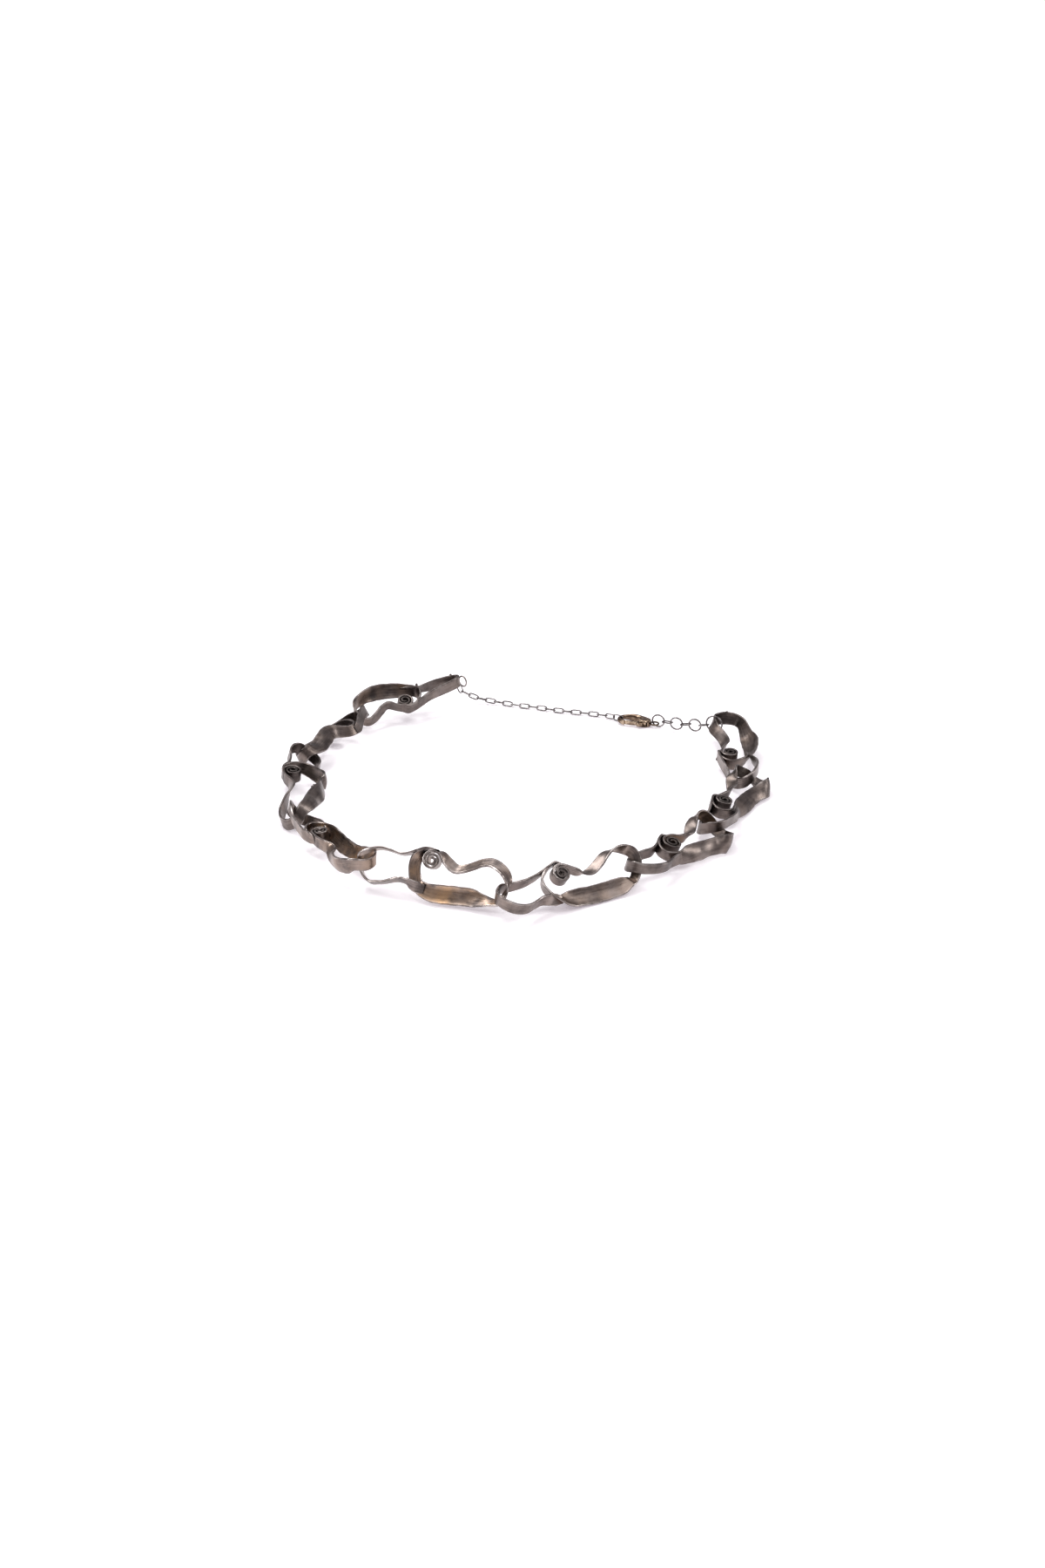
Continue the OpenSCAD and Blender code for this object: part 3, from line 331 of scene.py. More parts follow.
@dataclass
class Skin:
    """Closed skins gathered for one mesh, with a surface coordinate and marks on each point."""

    mark_names: tuple[str, ...] = ("rim", "warm", "dark")
    points: list[Array] = field(default_factory=list)
    corners: list[Array] = field(default_factory=list)
    sizes: list[Array] = field(default_factory=list)
    uvs: list[Array] = field(default_factory=list)
    marks: dict[str, list[Array]] = field(default_factory=dict)
    count: int = 0

    def add(self, rings: Array, marks: Mapping[str, Union[Array, float]], loop: bool = False) -> None:
        """Add a closed skin over rings of points, its faces outwards.

        The surface coordinate is the distance along the rings' middles and round each ring.

        Args:
            rings: Points of shape (sections, sides, 3), in millimetres.
            marks: Point attributes, one value each or of shape (sections, sides); 0 where missing.
            loop: Whether the last section joins the first. Otherwise both ends get a cap.
        """
        sections, sides = rings.shape[:2]
        middles = rings.mean(1)
        closed = np.concatenate([middles, middles[:1]])
        run = travel(closed)
        belt = rings[sections // 2]
        girth = travel(np.concatenate([belt, belt[:1]]))
        i, j = np.meshgrid(np.arange(sections if loop else sections - 1), np.arange(sides), indexing="ij")
        i = np.stack([i, i + 1, i + 1, i], -1).reshape(-1, 4)
        j = np.stack([j, j, j + 1, j + 1], -1).reshape(-1, 4)
        quads = (i % sections) * sides + j % sides
        flat = rings.reshape(-1, 3)
        corners = flat[quads]
        normals = np.cross(corners[:, 2] - corners[:, 0], corners[:, 3] - corners[:, 1])
        outward = corners.mean(1) - closed[i].mean(1)
        if (normals * outward).sum() < 0:
            quads, i, j = quads[:, ::-1], i[:, ::-1], j[:, ::-1]
        self._faces(quads, np.stack([run[i], girth[j]], -1))
        if not loop:
            self._cap(rings, 0, middles[0] - middles[1], girth, run[0])
            self._cap(rings, sections - 1, middles[-1] - middles[-2], girth, run[sections - 1])
        self.points.append(flat)
        for name in self.mark_names:
            values = np.broadcast_to(marks.get(name, 0.0), (sections, sides)).reshape(-1)
            self.marks.setdefault(name, []).append(values)
        self.count += len(flat)

    def wire(self, path: Array, thickness: float, sides: int, marks: Mapping[str, float]) -> None:
        """Add a closed loop of round wire."""
        self.add(tube(path, thickness / 2, sides, closed=True), marks, loop=True)

    def _faces(self, quads: Array, uv: Array) -> None:
        """Keep faces of one size, given as point numbers, with their surface coordinates."""
        self.corners.append((quads + self.count).reshape(-1))
        self.sizes.append(np.full(len(quads), quads.shape[1]))
        self.uvs.append(uv.reshape(-1, 2))

    def _cap(self, rings: Array, row: int, outward: Array, girth: Array, run: float) -> None:
        """Close one end with a single face that looks along outward."""
        sides = rings.shape[1]
        ring = rings[row]
        area = np.cross(ring, np.roll(ring, -1, axis=0)).sum(0)
        order = np.arange(sides)
        if area @ outward < 0:
            order = order[::-1]
        uv = np.stack([np.full(sides, run), girth[order]], -1)
        self._faces((row * sides + order)[None], uv[None])

    def piece(self, name: str, material: Material) -> Thing:
        """Make the mesh object, in metres, at the origin, and report it.

        Args:
            name: Name of the piece.
            material: Its finish.

        Returns:
            The piece.
        """
        corners = np.concatenate(self.corners).astype(np.int32)
        sizes = np.concatenate(self.sizes).astype(np.int32)
        mesh = bpy.data.meshes.new(name)
        mesh.vertices.add(self.count)
        mesh.vertices.foreach_set("co", (np.concatenate(self.points) * MM).astype(np.float32).reshape(-1))
        mesh.loops.add(len(corners))
        mesh.loops.foreach_set("vertex_index", corners)
        mesh.polygons.add(len(sizes))
        mesh.polygons.foreach_set("loop_start", np.concatenate([[0], np.cumsum(sizes)[:-1]]).astype(np.int32))
        mesh.polygons.foreach_set("use_smooth", np.ones(len(sizes), bool))
        layer = mesh.uv_layers.new(name="surface")
        layer.data.foreach_set("uv", np.concatenate(self.uvs).astype(np.float32).reshape(-1))
        for mark, values in self.marks.items():
            attribute = mesh.attributes.new(mark, "FLOAT", "POINT")
            attribute.data.foreach_set("value", np.concatenate(values).astype(np.float32))
        mesh.update(calc_edges=True)
        mesh.validate()
        mesh.materials.append(material)
        log.info("%s: %d points", name, self.count)
        return add_object(name, mesh)


def tube(points: Array, radius: Array, sides: int, closed: bool = False) -> Array:
    """Rings of a round wire along points.

    A ring's point is p + r (cos a flat + sin a rise), where flat lies square to the run and to
    the path's own mean normal, and rise square to both.

    Args:
        points: Middle line.
        radius: Wire radius, one value or one a point.
        sides: Points in a ring.
        closed: Whether the path is a closed loop.

    Returns:
        Points of shape (sections, sides, 3).
    """
    if closed:
        run = unit(np.roll(points, -1, axis=0) - np.roll(points, 1, axis=0))
    else:
        run = tangents(points)
    offset = points - points.mean(0)
    normal = unit(np.linalg.svd(offset)[2][2])
    flat = unit(np.cross(run, normal))
    rise = np.cross(flat, run)
    angle = np.arange(sides) * FULL_TURN / sides
    reach = np.broadcast_to(radius, len(points))[:, None, None]
    turned = np.cos(angle)[None, :, None] * flat[:, None] + np.sin(angle)[None, :, None] * rise[:, None]
    return points[:, None] + reach * turned


Operand = Union["Value", float, Sequence[float]]


class Value:
    """A node's output in shader maths. An expression on values adds the Math nodes it needs."""

    def __init__(self, graph: "Graph", socket: bpy.types.NodeSocket) -> None:
        """Wrap one output socket."""
        self.graph = graph
        self.socket = socket

    def _math(self, operation: str, first: Operand, second: Operand) -> "Value":
        """The Math node of an operation on two operands."""
        return self.graph.node("ShaderNodeMath", {"operation": operation}, {0: first, 1: second})

    def __add__(self, other: Operand) -> "Value":
        """This value plus another."""
        return self._math("ADD", self, other)

    def __radd__(self, other: Operand) -> "Value":
        """A number plus this value."""
        return self._math("ADD", other, self)

    def __sub__(self, other: Operand) -> "Value":
        """This value less another."""
        return self._math("SUBTRACT", self, other)

    def __rsub__(self, other: Operand) -> "Value":
        """A number less this value."""
        return self._math("SUBTRACT", other, self)

    def __mul__(self, other: Operand) -> "Value":
        """This value times another."""
        return self._math("MULTIPLY", self, other)

    def __rmul__(self, other: Operand) -> "Value":
        """A number times this value."""
        return self._math("MULTIPLY", other, self)


class Graph:
    """The node tree of one material."""

    def __init__(self, name: str) -> None:
        """Start an empty material."""
        self.material = bpy.data.materials.new(name)
        self.material.use_nodes = True
        self.tree = self.material.node_tree
        self.tree.nodes.clear()

    def node(
        self, kind: str, settings: Mapping[str, object], inputs: Mapping[Key, Operand], output: Key = 0
    ) -> Value:
        """Add a node.

        Args:
            kind: The node's type.
            settings: Its properties, which are set first.
            inputs: Values or links by socket name or number.
            output: The socket that is returned.

        Returns:
            The chosen output.
        """
        made = self.tree.nodes.new(kind)
        for key, value in settings.items():
            setattr(made, key, value)
        for key, value in inputs.items():
            if isinstance(value, Value):
                self.tree.links.new(value.socket, made.inputs[key])
            else:
                made.inputs[key].default_value = value
        return Value(self, made.outputs[output])

    def surface(self, scale: Pair, place: float = 0.0) -> Value:
        """The strip's own coordinate, along and round it in millimetres, stretched by scale."""
        uv = self.node("ShaderNodeUVMap", {"uv_map": "surface"}, {})
        inputs = {"Vector": uv, "Scale": (*scale, 1.0), "Location": (place, place, 0.0)}
        return self.node("ShaderNodeMapping", {}, inputs)

    def place(self) -> Value:
        """Object coordinates, in metres."""
        return self.node("ShaderNodeTexCoord", {}, {}, "Object")

    def mark(self, name: str) -> Value:
        """A point attribute's value."""
        return self.node("ShaderNodeAttribute", {"attribute_name": name}, {}, "Fac")

    def noise(self, vector: Value, scale: float, detail: float = 3.0, rough: float = 0.6) -> Value:
        """Noise of about 0.3 to 0.7."""
        inputs = {"Vector": vector, "Scale": scale, "Detail": detail, "Roughness": rough}
        return self.node("ShaderNodeTexNoise", {}, inputs, "Fac")

    def ramp(self, value: Value, low: float, high: float) -> Value:
        """The value eased from 0 at low to 1 at high."""
        settings = {"interpolation_type": "SMOOTHSTEP"}
        return self.node("ShaderNodeMapRange", settings, {"Value": value, "From Min": low, "From Max": high})

    def blend(self, first: Operand, second: Operand, share: Operand) -> Value:
        """Colour mixed from first to second by share."""
        return self.node("ShaderNodeMix", {"data_type": "RGBA"}, {0: share, 6: first, 7: second}, 2)

    def bump(self, height: Value, depth: float) -> Value:
        """Normal bent by a height of 0 to 1 over a depth in metres."""
        inputs = {"Height": height, "Distance": depth, "Strength": 1.0}
        return self.node("ShaderNodeBump", {}, inputs, "Normal")

    def dress(self, **inputs: Operand) -> Material:
        """End the material in a Principled shader, its sockets named with _ for a space."""
        named = {key.replace("_", " "): value for key, value in inputs.items()}
        shader = self.node("ShaderNodeBsdfPrincipled", {}, named)
        out = self.tree.nodes.new("ShaderNodeOutputMaterial")
        self.tree.links.new(shader.socket, out.inputs["Surface"])
        return self.material


def rgb(red: float, green: float, blue: float) -> Colour:
    """An opaque colour."""
    return (red, green, blue, 1.0)


@dataclass(frozen=True)
class ForgedSilver:
    """Oxidised silver worked with a hammer: dark patina, drawn along the strip, rims worn bright, and painted
    shade.
    """

    patina: Colour = rgb(0.1, 0.083, 0.078)
    body: Colour = rgb(0.3, 0.257, 0.24)
    copper: Colour = rgb(0.47, 0.3, 0.175)
    worn: Colour = rgb(0.58, 0.53, 0.505)
    # Near black of the painted shade on the links further back and in the rolls, where patina in the hollows
    # adds to it
    darkening: Colour = rgb(0.026, 0.022, 0.021)
    relief: float = 0.00007

    def material(self) -> Material:
        """Build the finish from streaks, clouds, wear on the rims, painted shade and a faint hammered bump.
        """
        g = Graph("forged silver")
        streak = g.noise(g.surface((0.13, 3.4)), 1.0, detail=4.0)
        fine = g.noise(g.surface((0.4, 17.0), 7.0), 1.0)
        patch = g.noise(g.place(), 340.0)
        cloud = g.noise(g.place(), 120.0, detail=2.0, rough=0.5)
        tone = streak * 0.3 + cloud * 0.35 + patch * 0.35
        base = g.blend(self.patina, self.body, g.ramp(tone, 0.36, 0.62))
        warmth = g.mark("warm") * g.ramp(patch * 0.4 + cloud * 0.6, 0.34, 0.6)
        base = g.blend(base, self.copper, warmth)
        wear = g.mark("rim") * g.ramp(fine * 0.3 + patch * 0.7, 0.43, 0.62)
        base = g.blend(base, self.worn, wear * 0.85)
        # Painted shade: near black by the dark mark, deeper on the links further back and in the rolls, with
        # patina in the rolls' hollows
        dark = g.mark("dark")
        base = g.blend(base, self.darkening, dark * 0.88)
        rough = 0.3 + 0.24 * (streak - 0.5) + 0.16 * (fine - 0.5) - 0.08 * wear + 0.1 * dark
        height = streak * 0.25 + fine * 0.1 + patch * 0.7
        return g.dress(Base_Color=base, Metallic=1.0, Roughness=rough, Normal=g.bump(height, self.relief))


@dataclass(frozen=True)
class DarkWire:
    """Drawn silver wire, oxidised and rubbed in patches."""

    patina: Colour = rgb(0.085, 0.075, 0.074)
    rubbed: Colour = rgb(0.34, 0.315, 0.31)
    relief: float = 0.00002

    def material(self) -> Material:
        """Build the finish from two scales of noise, with fine draw marks as bump."""
        g = Graph("dark wire")
        blotch = g.noise(g.place(), 900.0)
        draw = g.noise(g.surface((0.8, 14.0)), 1.0)
        base = g.blend(self.patina, self.rubbed, g.ramp(blotch * 0.7 + draw * 0.3, 0.42, 0.62))
        rough = 0.3 + 0.25 * draw
        return g.dress(Base_Color=base, Metallic=1.0, Roughness=rough, Normal=g.bump(draw, self.relief))


@dataclass(frozen=True)
class CastClasp:
    """Golden-brown brass, glossy and a little cloudy with handling."""

    brown: Colour = rgb(0.13, 0.088, 0.062)
    bright: Colour = rgb(0.42, 0.325, 0.235)
    darkening: Colour = rgb(0.05, 0.04, 0.035)
    relief: float = 0.00001

    def material(self) -> Material:
        """Build the finish from clouds of wear and a fine cast grain as bump."""
        g = Graph("cast clasp")
        cloud = g.noise(g.place(), 500.0, detail=4.0)
        grain = g.noise(g.place(), 5000.0, detail=2.0)
        base = g.blend(self.brown, self.bright, g.ramp(cloud, 0.42, 0.64))
        # The eye is made darker by its dark mark
        base = g.blend(base, self.darkening, g.mark("dark"))
        rough = 0.1 + 0.2 * cloud
        return g.dress(Base_Color=base, Metallic=1.0, Roughness=rough, Normal=g.bump(grain, self.relief))


@dataclass(frozen=True)
class Strip:
    """The forged bar that every link is made of, and how unevenly the hammer left it."""

    thickness: float = 0.6
    dish_per_width: float = 0.3
    face_points: int = 13
    edge_points: int = 5
    # Power of the edge's rounding, and height of the swollen rims
    edge_square: float = 0.62
    rim_swell: float = 0.03
    # Place across a face where its worn rim starts, and the rim mark there and on the edge
    rim_start: float = 0.93
    rim_shine: Pair = (0.6, 0.5)
    # Depth of the dents in the faces and of the waver in the rims, and their lengths on each side
    dents: float = 0.014
    waver: float = 0.025
    dent_lengths: Sequence[Row] = ((2.3, 3.6, 5.8, 9.0), (2.6, 4.1, 6.3, 9.7))
    waver_lengths: Sequence[Row] = ((2.9, 4.7, 7.0, 11.0), (3.1, 4.4, 7.9, 12.0))
    # How much more of both a leaf has, which is leaf_extra wider than the bar
    leaf_dents: float = 1.6
    leaf_waver: float = 3.0
    leaf_extra: float = 1.2
    # Length of a rounded end, the share of the thickness left there, and how far it is drawn in
    end_round: float = 0.28
    end_share: float = 0.3
    end_inset: float = 0.2
    # The same of a tapered end
    taper: float = 2.2
    taper_share: float = 0.06
    taper_inset: float = 0.45
    steps: int = 12

    def profile(self) -> tuple[Array, Array, Array]:
        """The section once round: front face, one edge, back face, other edge.

        Faces run as sin over -90..90 degrees, so that points crowd at the rims. On an edge the
        reach is cos^q and the height sin^q, which is a square corner worn round.

        Returns:
            Place across the face, -1 to 1; reach of the edge, -1 to 1; height, -1 to 1.
        """
        across = np.sin(np.linspace(-math.pi / 2, math.pi / 2, self.face_points))
        angle = np.linspace(math.pi / 2, -math.pi / 2, self.edge_points + 2)[1:-1]
        reach = np.cos(angle) ** self.edge_square
        height = signed_power(np.sin(angle), self.edge_square)
        face = np.ones(self.face_points)
        edge = np.ones(self.edge_points)
        return (
            np.concatenate([across, edge, -across, -edge]),
            np.concatenate([0 * face, reach, 0 * face, -reach]),
            np.concatenate([face, height, -face, -height]),
        )

    def axes(self, points: Array, normals: Array, rows: Array) -> tuple[Array, Array]:
        """Directions of a strip's width and thickness.

        The width leans from the sheet's normal n towards n x run, and is kept square to the run.

        Args:
            points: Middle line.
            normals: The sheet's normals.
            rows: Table rows, of which the lean is read.

        Returns:
            Unit vectors of the width and the thickness at each point.
        """
        run = tangents(points)
        lean = np.radians(rows[:, 3])[:, None]
        tipped = normals * np.cos(lean) + unit(np.cross(normals, run)) * np.sin(lean)
        wide = unit(tipped - run * (tipped * run).sum(1, keepdims=True))
        return wide, np.cross(run, wide)

    def rings(
        self, points: Array, normals: Array, rows: Array, rng: Random, tapered: tuple[bool, bool]
    ) -> tuple[Array, Array, Array]:
        """Carry the section along a strip's path.

        The section lies at p + width across + thickness up. The middle of a strip wider than
        the bar is dished, by dish_per_width times the extra width times 1 - across^2, and it
        is more dented and its rims waver more. The faces swell towards the rims by rim_swell
        times |across|^6 - 0.4. A tapered end is drawn out thin and narrow, as where it is
        soldered on.

        Args:
            points: Middle line.
            normals: The sheet's normals.
            rows: Table rows, of which the lean and the width are read.
            rng: Source of the hammer marks.
            tapered: Whether the first and the last end are tapered.

        Returns:
            Rings, the rim mark, and the distance along the strip with one column.
        """
        wide, thin = self.axes(points, normals, rows)
        s = travel(points)[:, None]
        u, reach, height = (a[None] for a in self.profile())
        end = np.minimum(s, s[-1] - s) / self.end_round
        rounding = np.sqrt(1 - (1 - np.clip(end, 0, 1)) ** 2)
        near, far = (ease(d / self.taper) if on else 1.0 for d, on in zip((s, s[-1] - s), tapered))
        drawn = near * far
        half = self.thickness / 2 * (self.end_share + (1 - self.end_share) * rounding)
        half = half * (self.taper_share + (1 - self.taper_share) * drawn)
        swell = self.rim_swell * (np.abs(u) ** 6 - 0.4)
        extra = rows[:, 4:5] - STRIP_WIDTH
        leaf = ease(extra / self.leaf_extra)
        dents = self.dents * (1 + self.leaf_dents * leaf)
        waver = self.waver * (1 + self.leaf_waver * leaf)
        front, back = (waves(rng, s, u, lengths) * dents for lengths in self.dent_lengths)
        right, left = (waves(rng, s, 0 * s, lengths) * waver for lengths in self.waver_lengths)
        body = rows[:, 4:5] / 2 - half - (1 - rounding) * self.end_inset - (1 - drawn) * self.taper_inset
        lateral = u * body + reach * half + np.where(u > 0, right, -left) * np.abs(u)
        dish = np.maximum(extra, 0) * self.dish_per_width * (1 - u**2)
        relief = (swell + np.where(height > 0, front, back)) * (1 - np.abs(reach)) * rounding
        up = height * (half + relief) - dish
        rings = points[:, None] + lateral[..., None] * wide[:, None] + up[..., None] * thin[:, None]
        border = ease((np.abs(u) - self.rim_start) / (1 - self.rim_start))
        rim = np.clip(border * self.rim_shine[0] + np.abs(reach) * self.rim_shine[1], 0, 1)
        return rings, rim, s


@dataclass(frozen=True)
class LinkShape:
    """One forged link: where it lies, how its sheet rolls, and its two strips."""

    at: Triple
    yaw: float
    pitch: float
    # Roll of the sheet at the tail, the waist and the head
    rolls: Triple
    roll_radius: float
    band: Sequence[Row]
    tail: Sequence[Row]
    # How coppery the faces are: band front, band back, tail front, tail back
    warmth: tuple[float, float, float, float]
    # How dark the strips are, as painted shade that is deeper on the links further back, and how dark the
    # roll is, as painted shade in the coil with patina in its hollows
    darkening: float
    roll_shade_and_patina: float = 0.9
    # Small burrs of metal as (along, across, off, radius)
    burrs: Sequence[tuple[float, float, float, float]] = ()
    spiral_tilt: float = 0.0

    def place(self, rows: Array) -> tuple[Array, Array]:
        """Points and sheet normals of table rows.

        With s = along / half a link, the sheet's roll is waist + (head - tail) s / 2 +
        ((head + tail) / 2 - waist) s^2. It turns the level side and the up of the heading.

        Args:
            rows: Table rows.

        Returns:
            The points in the necklace's frame and the unit normals of the sheet there.
        """
        yaw, pitch = math.radians(self.yaw), math.radians(self.pitch)
        level = np.array([math.cos(yaw), math.sin(yaw), 0.0])
        heading = level * math.cos(pitch) + np.array(UP) * math.sin(pitch)
        side = np.cross(UP, level)
        up = np.cross(heading, side)
        tail, waist, head = self.rolls
        s = np.clip(rows[:, :1] / HALF_LINK, -ROLL_REACH, ROLL_REACH)
        roll = np.radians(waist + (head - tail) / 2 * s + ((head + tail) / 2 - waist) * s * s)
        across = side * np.cos(roll) + up * np.sin(roll)
        off = up * np.cos(roll) - side * np.sin(roll)
        points = SHIFT + np.array(self.at) + heading * rows[:, :1]
        return points + across * (rows[:, 1:2] - SPINE) + off * rows[:, 2:3], off

    def joined_tail(self, outside: float) -> Array:
        """Rows of the tail loop with two more that lay its start on the outside of the roll.

        Args:
            outside: Distance of the two rows from the band's middle line.

        Returns:
            The full rows.
        """
        tail = full_rows(self.tail)
        first, second = full_rows(self.band[:2])
        lead = np.array([first * (1 - LEAD) + second * LEAD, first])
        lead[:, 1] += outside
        lead[1, 1] = (lead[1, 1] + tail[0, 1]) / 2
        return np.concatenate([lead, tail])

    def spiral(self, turns: float, inner: float, per_turn: int) -> Array:
        """Rows of the roll, which ends tangent to the band's first row.

        Its radius grows evenly from inner to the outer radius R. At radius r and angle a the
        row is the exit plus r cos a along, and r sin a - R across.

        Args:
            turns: Turns of strip in the roll.
            inner: Radius at its inner end.
            per_turn: Rows in a turn.

        Returns:
            The rows, without the exit itself.
        """
        exit_row = full_rows(self.band[:1])[0]
        count = round(turns * per_turn)
        share = np.arange(count) / count
        angle = math.pi / 2 + FULL_TURN * turns * (1 - share)
        radius = inner + (self.roll_radius - inner) * share
        tilt = math.radians(self.spiral_tilt)
        run = radius * np.cos(angle)
        rows = np.tile(exit_row, (count, 1))
        rows[:, 0] += run * math.cos(tilt)
        rows[:, 1] += radius * np.sin(angle) - self.roll_radius
        rows[:, 2] -= run * math.sin(tilt)
        rows[:, 3] = 0
        return rows


@dataclass
class ForgedLinks:
    """The nine large links of the necklace."""

    shapes: Sequence[LinkShape]
    material: Material
    strip: Strip = Strip()
    roll_turns: float = 2.1
    roll_inner: float = 0.45
    rows_per_turn: int = 56
    # Length of the dark part of a band, in lengths of its roll, and how much the dark mark, painted shade
    # with patina in the roll, hides the worn rim
    dark_length: float = 1.25
    rim_hidden: float = 0.85
    # The tail's start lies this share of the thickness outside the band's middle line
    overlap: float = 0.7
    # Copper comes and goes as mean + change * waves of these lengths, less so on the rim
    copper_mean: float = 0.75
    copper_change: float = 0.5
    copper_lengths: Sequence[float] = (6.0, 11.0, 17.0)
    copper_off_rim: float = 0.8
    # Points round a burr, angle left open at its poles, how lumpy and how shiny it is
    burr_sides: int = 16
    burr_pole: float = 0.06
    burr_lumps: float = 0.12
    burr_shine: float = 0.4
    end_ring_at: Triple = (-17.9, 68.2, 7.7)
    end_ring_yaw: float = -45.0
    end_ring_radius: float = 1.5
    end_ring_wire: float = 0.45
    # Points along the ring, and round its wire
    end_ring_points: tuple[int, int] = (64, 12)
    end_ring_shine: float = 0.3

    def build(self) -> None:
        """Build every link as one piece that stands for its CAD node."""
        for number, shape in enumerate(self.shapes, 1):
            rng = np.random.default_rng(number)
            skin = Skin()
            self._band(skin, shape, rng)
            self._tail(skin, shape, rng)
            if number == 1:
                self._end_ring(skin)
            stand_for(skin.piece(f"forged_link_{number}", self.material), f"link_{number}")

    def _band(self, skin: Skin, shape: LinkShape, rng: Random) -> None:
        """The strip that starts in the roll and runs round the head to the leaf and divider."""
        roll = shape.spiral(self.roll_turns, self.roll_inner, self.rows_per_turn)
        rows = np.concatenate([roll, smooth(full_rows(shape.band), self.strip.steps)])
        points, normals = shape.place(rows)
        strip = self.strip.rings(points, normals, rows, rng, (False, True))
        # Painted shade: the link's own over the band, rising to the roll's, which is painted shade in the
        # coil with patina in its hollows
        wound = ease(self.dark_length - np.arange(len(rows)) / len(roll))[:, None]
        dark = shape.darkening + (shape.roll_shade_and_patina - shape.darkening) * wound
        self._marked(skin, strip, shape.warmth[:2], dark, rng)

    def _tail(self, skin: Skin, shape: LinkShape, rng: Random) -> None:
        """The tail loop, drawn out over the roll where it is soldered, and the link's burrs."""
        rows = smooth(shape.joined_tail(self.overlap * self.strip.thickness), self.strip.steps)
        points, normals = shape.place(rows)
        strip = self.strip.rings(points, normals, rows, rng, (True, True))
        # The tail and the burrs take the link's painted shade as their dark mark
        self._marked(skin, strip, shape.warmth[2:], np.full((len(rows), 1), shape.darkening), rng)
        for along, across, off, radius in shape.burrs:
            row = full_rows([(along, across, off)])
            self._burr(skin, shape.place(row)[0][0], radius, shape.darkening, rng)

    def _marked(
        self, skin: Skin, strip: tuple[Array, Array, Array], warmth: Pair, dark: Array, rng: Random
    ) -> None:
        """Add a strip with its marks; copper shows on the middle of a face and comes and goes.

        Args:
            skin: Skin to add it to.
            strip: Its rings, rim mark and distances.
            warmth: How coppery its front and its back are.
            dark: Its dark mark along it, which is painted shade, with patina on the roll.
            rng: Source of the copper's patches.
        """
        rings, rim, s = strip
        height = self.strip.profile()[2][None]
        patches = self.copper_mean + self.copper_change * waves(rng, s, 0 * s, self.copper_lengths)
        warm = np.where(height > 0, warmth[0], warmth[1]) * patches * (1 - self.copper_off_rim * rim)
        marks = {"rim": rim * (1 - self.rim_hidden * dark), "warm": np.clip(warm, 0, 1), "dark": dark}
        skin.add(rings, marks)

    def _burr(self, skin: Skin, at: Array, radius: float, dark: float, rng: Random) -> None:
        """A lump of melted metal: a ball of radius r (1 + lumps (sin 3a sin^3 b + sin 4b)).

        The two waves get phases of their own, and a pole is left open by burr_pole and capped.

        Args:
            skin: Skin to add it to.
            at: Its middle.
            radius: Its mean radius.
            dark: Its dark mark, the link's painted shade.
            rng: Source of its unevenness.
        """
        polar = np.linspace(self.burr_pole, math.pi - self.burr_pole, self.burr_sides // 2 + 1)[:, None]
        turn = (np.arange(self.burr_sides) * FULL_TURN / self.burr_sides)[None]
        phase = rng.uniform(0, FULL_TURN, 2)
        lumps = np.sin(3 * turn + phase[0]) * np.sin(polar) ** 3 + np.sin(4 * polar + phase[1])
        level = [np.sin(polar) * np.cos(turn), np.sin(polar) * np.sin(turn)]
        ball = np.stack([*level, np.cos(polar) + 0 * turn], -1) * (1 + self.burr_lumps * lumps)[..., None]
        skin.add(at + ball * radius, {"rim": self.burr_shine, "dark": dark})

    def _end_ring(self, skin: Skin) -> None:
        """The small ring at the tip of the first link, an upright circle."""
        count, sides = self.end_ring_points
        path = upright_circle(self.end_ring_at, self.end_ring_yaw, self.end_ring_radius, count)
        skin.wire(path, self.end_ring_wire, sides, {"rim": self.end_ring_shine})


def upright_circle(at: Sequence[float], yaw: float, radius: float, count: int, gap: float = 0.0) -> Array:
    """Points of a circle in an upright plane: at + r (cos a towards yaw, sin a up).

    Args:
        at: Its middle.
        yaw: Turn of the plane, in degrees.
        radius: Its radius.
        count: Number of points.
        gap: Angle left open at the top, in radians. 0 gives a closed loop.

    Returns:
        The points.
    """
    if gap:
        angle = np.linspace(gap / 2, FULL_TURN - gap / 2, count) + math.pi / 2
    else:
        angle = np.arange(count) * FULL_TURN / count
    level = np.array([math.cos(math.radians(yaw)), math.sin(math.radians(yaw)), 0.0])
    return np.array(at) + radius * (np.cos(angle)[:, None] * level + np.sin(angle)[:, None] * np.array(UP))


